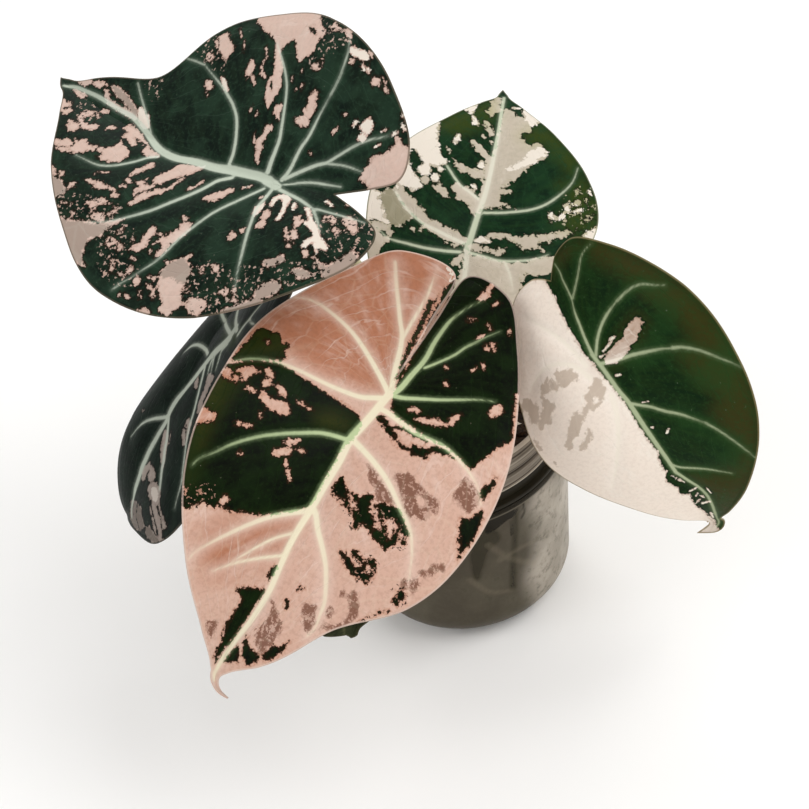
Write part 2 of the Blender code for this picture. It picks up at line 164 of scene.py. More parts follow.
class Paint:
    """A material with a Principled shader. Its constant values are set on the shader itself."""

    def __init__(self, name, **constants):
        self.material = bpy.data.materials.new(name)
        self.material.use_nodes = True
        self.tree = self.material.node_tree
        self.shader = self.tree.nodes["Principled BSDF"]
        for socket, value in constants.items():
            self.shader.inputs[socket.replace("_", " ")].default_value = value

    def node(self, kind, settings, inputs, output=0):
        """Adds a node. Settings come first, then values or wires for its sockets."""
        made = self.tree.nodes.new(kind)
        for name, value in settings.items():
            setattr(made, name, value)
        for name, value in inputs.items():
            if isinstance(value, Wire):
                self.tree.links.new(value.socket, made.inputs[name])
            else:
                made.inputs[name].default_value = value
        return Wire(self, made.outputs[output])

    def mix(self, factor, below, above):
        """The colour below where factor is 0, and the colour above where it is 1."""
        settings = {"data_type": "RGBA"}
        return self.node("ShaderNodeMix", settings, {0: factor, 6: below, 7: above}, 2)

    def stored(self, name, output="Fac"):
        """A number kept on the mesh's vertices, or three where the output is Vector."""
        return self.node("ShaderNodeAttribute", {"attribute_name": name}, {}, output)

    def place(self):
        """The place of a point on its piece, in metres."""
        return self.node("ShaderNodeTexCoord", {}, {}, "Object")

    def one_of(self, source, axis):
        """One of the three numbers of a place."""
        return self.node("ShaderNodeSeparateXYZ", {}, {"Vector": source}, axis)

    def scaled(self, source, *scale):
        """A place with its three numbers scaled."""
        return self.node("ShaderNodeMapping", {}, {"Vector": source, "Scale": scale})

    def stretched(self, source, across, along):
        """A place scaled so that a noise on it gets cells of that size."""
        return self.scaled(source, 1.0 / across, 1.0 / along, 1.0)

    def noise(self, source, scale=1.0, detail=2.0, roughness=0.5):
        """Cloudy numbers around 0.5."""
        inputs = {"Vector": source, "Scale": scale, "Detail": detail, "Roughness": roughness}
        return self.node("ShaderNodeTexNoise", {}, inputs, "Fac")

    def bump(self, height, distance, strength=1.0):
        """Feeds a height to the shader's normal."""
        inputs = {"Height": height, "Distance": distance, "Strength": strength}
        self.link(self.node("ShaderNodeBump", {}, inputs), "Normal")

    def link(self, wire, socket):
        self.tree.links.new(wire.socket, self.shader.inputs[socket])


def ink(red, green, blue):
    """A colour given as the 0 to 255 values that a screen shows."""
    screen = [value / 255 for value in (red, green, blue)]
    return tuple(v / 12.92 if v <= 0.04045 else ((v + 0.055) / 1.055) ** 2.4 for v in screen) + (1.0,)


print("paint is ready")

# %% [markdown]
# ## Floor
# A wide disc just under the cup, in a matt off-white. It is a stage piece, not part of the plant.

# %% Floor
FLOOR_RADIUS = 6.0
FLOOR_DROP = 0.0002
bpy.ops.mesh.primitive_circle_add(
    vertices=96, radius=FLOOR_RADIUS, fill_type="NGON", location=(0, 0, -FLOOR_DROP))
floor = bpy.context.object
floor.name = "floor"
floor_paint = Paint("pale floor", Roughness=0.9, Base_Color=ink(252, 251, 249))
floor.data.materials.append(floor_paint.material)
print("floor radius:", FLOOR_RADIUS)

# %% [markdown]
# ## The form of a leaf
# A blade is easiest to describe flat. Seven veins run from the midrib to the margin on each side, so
# a point has two numbers: its vein, from 0 in the notch behind the stalk to 7 at the tip, and how far
# across it lies, from 0 on the midrib to 1 on the margin. The flat blade is then folded along its
# midrib, cupped, twisted and arched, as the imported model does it, and set on its stalk.

# %% Six leaves
# Joint with the stalk and length in millimetres, heading, dip and bank in degrees. Bends are in radians, and
# the rest are shares of the length or factors. The pairs of part, fold, cup and reach are for the right and
# the left half. Sweep turns the midrib and then its outer half, tail hooks the tip sideways and up, and
# point is the tip's length and half width. The last line is for the stalk: its turn round the stem in
# degrees, and how far it runs on at its foot and its top in millimetres.
SHAPES = {
    "front": dict(
        joint=(-13.5, -30.5, 109.7), heading=-128, dip=7, bank=20, length=95, width=0.97, lobe=1.12,
        sinus=0.06, part=(0.05, 0.35), arch=0.74, tip_drop=0.13, lobe_drop=-0.26,
        fold=(0.37, 0.30), cup=(0.19, 0.29), twist=0.22, sweep=(0.13, -0.02),
        tail=(-2.0, 0.0), point=(0.09, 0.012),
        reach=((0.98, 1.01, 0.97, 1.02, 1.03, 1.03), (0.99, 1.0, 1.04, 1.07, 0.97, 1.10)),
        foot=-108, rise=26, shoulder=14),
    "upper_left": dict(
        joint=(-32.1, 8.6, 159.5), heading=138, dip=3, bank=25, length=100, width=1.02, lobe=0.98,
        sinus=0.21, part=(1.0, 1.0), arch=0.0, tip_drop=0.15, lobe_drop=0.24,
        fold=(0.26, 0.31), cup=(0.18, 0.43), twist=-0.07, sweep=(0.43, -0.07),
        tail=(0.2, 0.0), point=(0.05, 0.018),
        reach=((0.97, 1.15, 1.03, 0.95, 0.69, 0.86), (0.98, 1.08, 1.06, 0.99, 0.99, 0.97)),
        foot=120, rise=46, shoulder=44),
    "back": dict(
        joint=(18.4, 35.9, 102.2), heading=56, dip=-16, bank=-26, length=78, width=0.99, lobe=1.0,
        sinus=0.18, part=(0.3, 0.5), arch=0.44, tip_drop=0.11, lobe_drop=0.25,
        fold=(0.19, 0.17), cup=(0.28, 0.37), twist=0.05, sweep=(-0.28, -0.01),
        tail=(0.1, 0.0), point=(0.06, 0.018),
        reach=((1.02, 0.91, 1.06, 1.04, 0.98, 0.96), (1.0, 1.03, 1.0, 0.99, 0.98, 1.02)),
        foot=48, rise=20, shoulder=24),
    "right": dict(
        joint=(44.5, -34.7, 108.9), heading=-61, dip=38, bank=-54, length=73, width=1.0, lobe=1.06,
        sinus=0.33, part=(1.0, 1.0), arch=1.0, tip_drop=0.07, lobe_drop=0.47,
        fold=(0.11, 0.23), cup=(0.34, 0.28), twist=0.19, sweep=(0.59, -0.02),
        tail=(1.2, 1.2), point=(0.12, 0.035),
        reach=((0.97, 0.98, 1.01, 1.01, 1.02, 1.1), (1.0, 1.13, 1.04, 1.01, 0.99, 1.0)),
        foot=-32, rise=26, shoulder=26),
    "lower_left": dict(
        joint=(-60.8, 17.2, 106.4), heading=-153, dip=36, bank=-19, length=83, width=0.91, lobe=1.1,
        sinus=0.30, part=(0.1, 0.1), arch=0.43, tip_drop=0.22, lobe_drop=0.60,
        fold=(0.24, 0.16), cup=(1.43, 0.39), twist=0.74, sweep=(0.22, 0.95),
        tail=(0.2, 0.0), point=(0.06, 0.009),
        reach=((1.0, 1.0, 0.94, 0.95, 1.01, 1.01), (1.1, 1.4, 1.05, 1.0, 1.07, 0.98)),
        foot=176, rise=24, shoulder=28),
    "lower_front": dict(
        joint=(-18.0, -37.0, 90.7), heading=-107, dip=28, bank=29, length=53, width=0.81, lobe=0.6,
        sinus=0.15, part=(1.0, 1.0), arch=0.72, tip_drop=0.19, lobe_drop=0.25,
        fold=(0.20, 0.20), cup=(0.35, 0.35), twist=0.0, sweep=(0.09, 0.02),
        tail=(0.0, 0.0), point=(0.03, 0.03),
        reach=((1.0, 1.0, 1.0, 1.0, 1.1, 1.9), (1.0, 1.0, 1.0, 0.95, 0.85, 0.95)),
        foot=-148, rise=11, shoulder=14),
}

# One half of a flat blade: vein, distance across and distance along, as shares of the length
MARGIN = (
    (1.0, 0.190, -0.385), (1.5, 0.310, -0.240), (2.0, 0.400, -0.060), (2.5, 0.450, 0.110),
    (3.0, 0.457, 0.270), (3.5, 0.430, 0.400), (4.0, 0.378, 0.515), (5.0, 0.240, 0.720),
    (6.0, 0.095, 0.880), (6.5, 0.030, 0.960),
)
LOBE_REACH = 0.395
# How far the edge of the notch has run to the lobe's end, at its first third
NOTCH_RUN = 0.58
# Where each vein leaves the midrib
VEIN_START = ((1.0, 0.0), (2.0, 0.012), (3.0, 0.05), (4.0, 0.19), (5.0, 0.43), (6.0, 0.70))
# How much each vein bows
VEIN_BOW = (
    (0.0, 0.0), (1.0, 0.04), (2.0, 0.18), (3.0, 0.20), (4.0, 0.16), (5.0, 0.12), (6.0, 0.06), (7.0, 0.0),
)
print("leaves:", ", ".join(SHAPES))

# %% [markdown]
# ## The flat blade and its bends
# Two steps give a leaf its form, and each is a formula, so that fine and plain leaves agree. The first
# lays a point out on the flat blade. The second folds the halves, curls them and bends the midrib.

# %% The flat blade
def through(knots, places, column):
    """A smooth curve through the knots' values, read at places."""
    knots = np.array(knots, float)
    x, y = knots[:, 0], knots[:, column]
    slope = np.gradient(y, x)
    i = np.clip(np.searchsorted(x, places, side="right") - 1, 0, len(x) - 2)
    h = x[i + 1] - x[i]
    s = (places - x[i]) / h
    rising = (2 * s**3 - 3 * s**2 + 1) * y[i] + (s**3 - 2 * s**2 + s) * h * slope[i]
    return rising + (3 * s**2 - 2 * s**3) * y[i + 1] + (s**3 - s**2) * h * slope[i + 1]


def flat_half(leaf, vein, across, side):
    """Flat place of a point of one half, side being 1 for the right one and -1 for the left one."""
    half = 0 if side > 0 else 1
    sinus = leaf["sinus"]
    part = leaf["part"][half]
    inner_edge = -(sinus + (LOBE_REACH - sinus) * NOTCH_RUN)
    tip_reach, tip_width = leaf["point"]
    lobe = ((0.0, 0.0, -sinus), (0.3, 0.04 * part, inner_edge), (0.6, 0.085 * part, -LOBE_REACH))
    margin = lobe + MARGIN + ((6.75, tip_width, 1.0), (7.0, 0.0, 1.0 + tip_reach))
    out = through(margin, vein, 1) * leaf["width"]
    along = through(margin, vein, 2)
    along = np.where(along < 0, along * leaf["lobe"], along)
    start_knots = ((0.0, -sinus * leaf["lobe"]),) + VEIN_START + ((7.0, 1.0 + tip_reach),)
    start = np.interp(vein, *np.transpose(start_knots))
    reach = leaf["reach"][half]
    reach_knots = [(0, reach[0])] + [(i + 1, value) for i, value in enumerate(reach)] + [(7, 1.0)]
    stretch = through(reach_knots, vein, 1)
    out = out * stretch
    along = start + (along - start) * stretch
    bow = np.interp(vein, *np.transpose(VEIN_BOW))
    x = across * (1 - across) * (out + 2 * bow * (along - start)) + across**2 * out
    middle = (along + start) / 2 - bow * out
    y = (1 - across)**2 * start + 2 * across * (1 - across) * middle + across**2 * along
    return side * x, y


# %% Bending the blade
# Where the blade bends, in lengths from the stalk: its tip, its sideways turn and its hook, and how
# far behind the stalk the lobes bend
TIP_START, TIP_SPAN = 0.85, 0.15
TURN_START, TURN_SPAN = 0.5, 0.5
HOOK_START, HOOK_SPAN = 0.98, 0.08
LOBE_SPAN = 0.4
# Width over which a half curls by its full angle
CURL_SPAN = 0.45


def midrib_path(leaf):
    """The midrib as a bent line: distance along, its slope, its sideways turn and its place."""
    along = np.linspace(-0.8, 1.2, 801)
    ahead = np.clip(along, 0, None)
    tip = np.clip((ahead - TIP_START) / TIP_SPAN, 0, 1)
    slope = -leaf["arch"] * ahead - leaf["tip_drop"] * tip**2
    slope += np.where(along < 0, -leaf["lobe_drop"] * along / LOBE_SPAN, 0)
    turn = leaf["sweep"][0] * ahead
    turn += leaf["sweep"][1] * np.clip((ahead - TURN_START) / TURN_SPAN, 0, 1)
    hook = np.clip((ahead - HOOK_START) / HOOK_SPAN, 0, 1)
    turn += leaf["tail"][0] * hook
    slope += leaf["tail"][1] * hook
    place = []
    for rate in (np.cos(slope) * np.sin(turn), np.cos(slope) * np.cos(turn), np.sin(slope)):
        total = np.concatenate([[0], np.cumsum((rate[1:] + rate[:-1]) / 2 * (along[1] - along[0]))])
        place.append(total - np.interp(0, along, total))
    return along, slope, turn, place


def bent(leaf, x, y):
    """Bends flat points into the blade's own frame, in lengths of the blade."""
    fold = np.where(x > 0, *leaf["fold"])
    curl = np.where(x > 0, *leaf["cup"]) / CURL_SPAN
    width = np.abs(x)
    out = np.sign(x) * (np.sin(fold) - np.sin(fold - curl * width)) / curl
    up = (np.cos(fold - curl * width) - np.cos(fold)) / curl
    out, up = (out * np.cos(leaf["twist"] * y) - up * np.sin(leaf["twist"] * y),
               out * np.sin(leaf["twist"] * y) + up * np.cos(leaf["twist"] * y))
    along, slope, turn, place = midrib_path(leaf)
    slope = np.interp(y, along, slope)
    turn = np.interp(y, along, turn)
    middle = np.stack([np.interp(y, along, part) for part in place], -1)
    ahead = np.stack([np.sin(turn) * np.cos(slope), np.cos(turn) * np.cos(slope), np.sin(slope)], -1)
    aside = np.stack([np.cos(turn), -np.sin(turn), 0 * turn], -1)
    above = np.cross(aside, ahead)
    return middle + out[..., None] * aside + up[..., None] * above


def blade_axes(leaf):
    """Unit vectors of the blade at its stalk: to its right, to its tip, and out of its upper face."""
    heading, dip, bank = (math.radians(leaf[key]) for key in ("heading", "dip", "bank"))
    ahead = np.array((math.cos(heading) * math.cos(dip), math.sin(heading) * math.cos(dip), -math.sin(dip)))
    level = np.array((math.sin(heading), -math.cos(heading), 0.0))
    aside = level * math.cos(bank) + np.cross(level, ahead) * math.sin(bank)
    return aside, ahead, np.cross(aside, ahead)


def placed(leaf, x, y):
    """Places in metres of points of the flat blade, given in lengths of the blade."""
    return (np.array(leaf["joint"]) + leaf["length"] * bent(leaf, x, y) @ np.array(blade_axes(leaf))) * MM


corner = placed(SHAPES["front"], *flat_half(SHAPES["front"], np.array([7.0]), np.array([0.0]), 1))
print("tip of the front leaf, metres:", corner.round(4))

# %% [markdown]
# ## Drawing on a leaf as it is seen
# Every leaf of a variegated plant is marked differently, so its veins and patches are drawn one by one:
# each is a row of picture points, as one would trace them on glass in front of the plant. A drawn
# point is carried to the nearest place of the blade, and from there on it belongs to the flat leaf,
# so the marking keeps its place from every side.

# %% Carrying drawn points to a flat sheet
NET_ROWS = 240
NET_COLUMNS = 60
# Of the net's places this near in the picture, in pixels, the ones in front are taken, in metres
SAME_SPOT = 1.5
SAME_LAYER = 0.006
# The flat step that shows which way the picture runs, and the furthest way from the net, in lengths
TRIAL_STEP = 0.002
FURTHEST = 0.03


def leaf_sheet(leaf):
    """The blade as a sheet: its surface, and a net of flat places over it in lengths of the blade."""
    net = []
    for side in (1, -1):
        rows, columns = np.linspace(0, 7, NET_ROWS), np.linspace(0, 1, NET_COLUMNS)
        vein, across = np.meshgrid(rows, columns, indexing="ij")
        net.append(np.stack(flat_half(leaf, vein.ravel(), across.ravel(), side), -1))
    return lambda flat: placed(leaf, *flat.T), np.concatenate(net)


def carried(sheet, points):
    """Flat places of points drawn in the picture."""
    surface, net = sheet
    seen = np.stack(in_picture(surface(net)), -1)
    nearest = []
    for point in points:
        gap = np.hypot(*(seen[:, :2] - point).T)
        near = np.flatnonzero(gap < gap.min() + SAME_SPOT)
        near = near[seen[near, 2] < seen[near, 2].min() + SAME_LAYER]
        nearest.append(near[np.argmin(gap[near])])
    start = net[nearest]

    def shift(x, y):
        moved = np.stack(in_picture(surface(start + np.stack([x, y], -1))), -1)[:, :2]
        return (moved - seen[nearest, :2]) / (x + y)[:, None]

    step = TRIAL_STEP * np.where(start[:, 0] < 0, -1, 1)
    slopes = np.stack([shift(step, 0 * step), shift(0 * step, np.abs(step))], -1)
    move = np.linalg.solve(slopes, (points - seen[nearest, :2])[..., None])[..., 0]
    return start + np.clip(move, -FURTHEST, FURTHEST)


print("places in a leaf's net:", 2 * NET_ROWS * NET_COLUMNS)

# %% [markdown]
# ## From a line to a depth
# A mesh keeps numbers, not lines. So each vertex gets its depth inside the nearest marking, in
# millimetres, and the paint later decides where the edge lies and how ragged it is.

# %% Depth inside a marking
# Depths reach this far round a marking, in millimetres
FAR = 9.0
# A vein that ends thinner than this runs out to a point, in millimetres
FINE_END = 0.7
KINDS = ("vein", "patch", "white", "grey", "warm", "speck")


def smooth_line(points, closed=False, steps=5):
    """A smooth line through points."""
    if closed:
        ends = np.concatenate([points[-1:], points, points[:2]])
    else:
        ends = np.concatenate([2 * points[:1] - points[1:2], points, 2 * points[-1:] - points[-2:-1]])
    t = (np.arange(steps) / steps)[:, None]
    line = []
    for a, b, c, d in zip(ends, ends[1:], ends[2:], ends[3:]):
        straight = 2 * b + (c - a) * t
        line.append((straight + (2 * a - 5 * b + 4 * c - d) * t**2 + (3 * b - a - 3 * c + d) * t**3) / 2)
    return np.concatenate(line + [ends[-2:-1]])


def stroke_depth(places, line, widths):
    """How far inside a stroke the places lie, in millimetres, and less than 0 outside it."""
    depth = np.full(len(places), -FAR)
    for a, b, start, end in zip(line, line[1:], widths, widths[1:]):
        run = b - a
        t = np.clip((places - a) @ run / max(run @ run, 1e-9), 0, 1)
        away = np.hypot(*(places - a - t[:, None] * run).T)
        depth = np.maximum(depth, (start + (end - start) * t) / 2 - away)
    return depth


def outline_depth(places, line):
    """How far inside a closed outline the places lie, in millimetres, and less than 0 outside it."""
    inside = np.zeros(len(places), bool)
    for a, b in zip(line, line[1:]):
        if a[1] != b[1]:
            level = (a[1] > places[:, 1]) != (b[1] > places[:, 1])
            inside ^= level & (places[:, 0] < a[0] + (places[:, 1] - a[1]) * (b[0] - a[0]) / (b[1] - a[1]))
    edge = -stroke_depth(places, line, np.zeros(len(line)))
    return np.where(inside, edge, -edge)


def markings(drawing):
    """The markings of a drawing: the kind, the widths and the points of each."""
    found = []
    for word in drawing.split():
        if word.strip("-").isalpha():
            found.append((word, [], []))
        elif "," in word:
            found[-1][2].append([float(value) for value in word.split(",")])
        else:
            found[-1][1].append(float(word))
    return found


def drawn(sheet, scale, places, drawing):
    """The depth of each kind of marking at the places, in millimetres."""
    depths = {kind: np.full(len(places), -FAR) for kind in KINDS}
    for kind, widths, points in markings(drawing):
        path = smooth_line(carried(sheet, np.array(points)) * scale, closed=not widths)
        close = np.all((places > path.min(0) - FAR) & (places < path.max(0) + FAR), axis=1)
        if widths:
            breadth = np.linspace(*widths, len(path))
            if kind == "vein" and widths[1] < FINE_END:
                # Its last third narrows to a quarter of its width
                breadth *= np.clip(np.linspace(3, 0, len(path)), 0.25, 1)
            depth = stroke_depth(places[close], path, breadth)
        else:
            depth = outline_depth(places[close], path)
        target = depths[kind.strip("-")]
        if kind.startswith("-"):
            target[close] = np.minimum(target[close], -depth)
        else:
            target[close] = np.maximum(target[close], depth)
    return depths


print("kinds of marking:", ", ".join(KINDS))

# %% [markdown]
# ## What is drawn on each leaf
# A kind starts a marking, and picture points follow it. A stroke has its width at each end first, in
# millimetres, and an outline has none. A vein is raised below and pale above. A patch is of the other
# colour than the leaf's ground, white, grey and warm places only tint it, and in a speck area small
# flecks of both colours mix. A minus in front of a kind takes that area away again, so it comes after
# what it cuts.
#
# On the front leaf the ground is dusty pink, and the patches are nearly black. Each patch is drawn
# with its holes, because the eye goes to these first.

# %% Front leaf
DRAWINGS = {}
DRAWINGS["front"] = """
vein 2.4 0.8 392,391 370,418 350,440 340,460 325,485 312,508 295,535 283,560 270,590 255,615 240,635
    225,655 217,668 213,680
vein 1.6 0.8 391,395 392,386 395,370 400,350 402,335 400,320 398,300 396,280 395,262
vein 0.8 0.5 403,338 412,322 425,300 433,282 438,270
vein 1.6 0.5 390,395 384,384 372,362 358,340 345,325 330,312 315,302 300,298 285,299
vein 1.4 0.7 388,397 375,398 360,397 340,390 320,381 300,371 281,363
vein 0.5 0.4 281,363 265,360 252,359 240,360 228,363
vein 1.0 0.4 350,441 335,436 320,433 300,433 280,434 262,436 245,440 230,445 215,452 200,458 192,465
vein 1.4 0.5 313,507 305,511 290,513 270,517 250,524 230,533 210,543 195,552 188,560
vein 0.6 0.5 287,555 260,558 235,563 212,571
vein 0.5 0.4 298,532 275,538 255,548 232,562
vein 1.9 0.5 390,396 400,389 412,375 425,360 435,342 447,325 455,317 468,308 484,300
vein 0.7 0.5 425,368 440,362 455,355 465,348 475,343 485,338 500,332
vein 1.3 0.4 391,395 402,398 420,399 440,400 460,400 480,400 495,402
vein 1.4 0.4 378,408 388,413 400,422 415,433 430,440 443,446 455,456 465,467 472,477 478,488 481,505
vein 1.5 0.5 352,438 360,447 372,460 385,477 393,492 400,508 407,522 411,535 412,550 411,565 409,580
vein 1.5 0.6 312,506 316,515 318,530 323,550 326,570 325,600 320,615 315,628 307,636
patch 234,360 240,348 250,338 258,330 264,328 272,334 277,333 281,337 282,343 288,343 289,347 285,352
    281,360
patch 220,368 240,362 262,361 281,364 300,376 320,390 340,403 362,421 352,440 342,450 335,462 325,480
    315,500 308,507 300,510 275,514 262,515 250,514 240,512 228,511 220,506 213,508 205,504 198,504
    184,509 180,490 182,470 186,445 194,425 202,408 210,385
patch 397,385 412,358 424,335 431,311 440,294 450,283 462,276 475,272 490,273 503,282 516,300 521,325
    524,340 527,355 527,375 524,390 521,410 513,436 508,444 498,447 495,452 487,458 476,466 470,470
    462,462 450,450 430,440 410,426 392,412 393,398
patch 341,477 347,487 350,492 357,496 362,497 368,494 374,496 372,502 375,506 382,503 390,506 397,508
    402,513 406,525 409,532 407,539 404,545 399,542 392,547 385,551 380,544 373,539 368,530 362,525
    356,530 353,525 354,519 348,510 341,505 334,496 332,491
-patch 335,496 342,500 344,504 340,502
-patch 348,492 354,498 357,506 357,512 353,509 350,501
-patch 371,507 376,508 379,513 376,516 372,514
-patch 376,523 382,526 380,530 376,529
-patch 389,522 397,525 398,530 393,533 391,541 388,538
-patch 383,518 387,520 386,524
-patch 399,534 403,536 401,541
speck 372,516 388,512 408,528 410,546 398,550 384,545
speck 334,495 345,495 360,515 366,530 352,532 344,512
patch 340,551 346,553 350,559 355,561 351,551 357,550 361,557 368,560 373,558 377,564 375,575 369,581
    365,585 362,580 356,579 349,571 344,564 342,558
-patch 352,558 357,559 362,566 358,568
-patch 366,566 371,566 370,572 366,572
speck 354,556 376,556 378,576 366,586 354,576
patch 460,521 468,519 476,514 483,511 480,525 475,537 468,547 460,557 457,558 459,540
patch 482,489 488,485 494,477 496,482 492,489 488,495 483,501 481,496
patch 279,564 273,566 268,572 268,582 277,570
patch 236,590 240,586 258,588 265,590 257,603 245,622 235,636 222,652 215,663 216,650 221,640 225,625
    234,611 241,598
patch 246,635 250,645 260,657 256,662 248,665 243,655
patch 238,645 240,655 236,662 225,661
patch 262,658 268,650 274,644 280,647 289,641 284,650 276,657 268,660
patch 2.0 1.6 380,418 390,432 396,440
patch 393,441 398,442 405,447 410,449 413,444 421,449 428,449 430,454 426,456 428,461 421,459 413,456
    407,452 399,448
patch 1.3 1.0 396,428 405,430 413,435 427,442
patch 432,446 441,448 450,452 458,460 448,457 438,454 431,453
patch 1.2 0.8 299,590 304,588
patch 1.2 1.4 287,602 288,607
-patch 238,369 252,367 258,373 249,377 245,380 240,374
-patch 232,378 238,376 241,380 236,383
-patch 221,373 227,368 230,370 232,379 228,381
-patch 264,370 270,369 274,376 270,380
-patch 262,382 268,380 272,385 264,388
-patch 245,389 251,386 256,391 250,393
-patch 276,388 281,386 286,395 283,398
-patch 263,392 269,397 275,400 284,402 289,410 285,415 272,411 262,402 259,397
-patch 296,400 305,405 313,411 300,406
-patch 196,405 214,414 213,421 192,421
-patch 286,440 298,439 299,441 293,446 283,444
-patch 272,453 276,449 293,449 289,454 282,457 274,456
-patch 300,448 305,452 301,454
-patch 219,500 226,496 228,500 222,505
-patch 490,285 494,286 491,293 486,300 478,300
-patch 407,411 413,408 420,411 421,414
-patch 415,420 425,419 437,420 445,425 452,418 458,415 461,417 450,427 430,425
-patch 492,408 500,405 503,411 498,417 489,418
-patch 1.2 1.2 518,395 516,420 514,440
-patch 1.0 1.0 372,510 380,524 392,521
-patch 0.8 0.8 267,342 268,343
-patch 0.8 0.8 240,453 241,454
-patch 0.8 0.8 236,424 252,426
-patch 0.8 0.8 260,415 261,416
-patch 0.7 0.7 289,481 285,460
-patch 1.1 0.8 495,306 499,303
-patch 1.0 0.7 469,320 475,321
-patch 0.9 0.7 489,325 491,331
-patch 1.0 0.8 493,345 495,352
-patch 0.8 0.7 486,346 488,351
-patch 0.8 0.7 510,331 511,335
-patch 0.9 0.7 473,372 477,369
-patch 0.8 0.7 483,365 484,370
-patch 0.8 0.6 446,384 447,387
-patch 0.8 0.6 446,367 448,370
-patch 0.8 0.6 478,339 483,336
grey 396,475 404,473 413,477 421,486 431,496 438,501 440,510 435,516 430,512 428,520 423,522 417,518
    409,516 404,509 401,496 397,485
-grey 417,496 422,498 426,505 421,508 417,503
grey 451,496 458,487 461,481 469,478 476,488 480,499 475,510 469,513 461,510 458,502
grey 368,465 375,472 383,484 392,496 396,505 387,503 378,502 376,494 370,481
grey 419,573 424,570 435,565 444,564 444,570 435,575 425,577 420,580
grey 206,621 216,620 218,624 210,637
grey 272,600 283,625 275,640 263,655 255,635 270,615
grey 303,608 308,604 317,606 315,618 313,629 304,632
grey 324,618 328,608 334,608 331,615 327,618
grey 342,591 349,594 356,591 359,602 358,615 351,623 342,628 331,630 321,629 323,623 334,625 342,623
    349,613 348,602 342,597
grey 318,425 325,420 340,421 350,430 335,433 322,431
warm 225,370 260,300 300,250 360,230 420,240 460,270 440,300 400,380 392,392 360,390 320,375 280,355
patch 392,599 397,593 404,591 406,597 401,602 397,606
grey 401,583 405,580 408,588 402,592
speck 390,590 408,580 409,600 397,608
patch 0.5 0.3 359,622 370,617 380,613 389,611
patch 1.6 2.0 431,302 421,325 409,350 399,378
-patch 0.9 0.6 441,294 429,318 416,343 405,366
white 1.0 0.8 448,269 453,276 450,282
grey 410,580 418,581 420,587 413,593 410,589
warm 206,528 292,521 284,548 250,566 212,574
warm 316,416 334,412 352,425 344,432 322,430
warm 230,358 250,335 264,330 256,352 232,392 212,425 202,455 190,482 182,470 190,425 206,390
speck 184,485 215,485 215,503 190,508
"""
print("front strokes and outlines:", len(markings(DRAWINGS["front"])))

# %% [markdown]
# ## The upper left leaf
# The highest leaf is dark green, with pink blots between its veins and many flecks near its margin.
# The blots are drawn one by one. The flecks are too many for that, so outlines only say where they
# lie, and the paint scatters them.

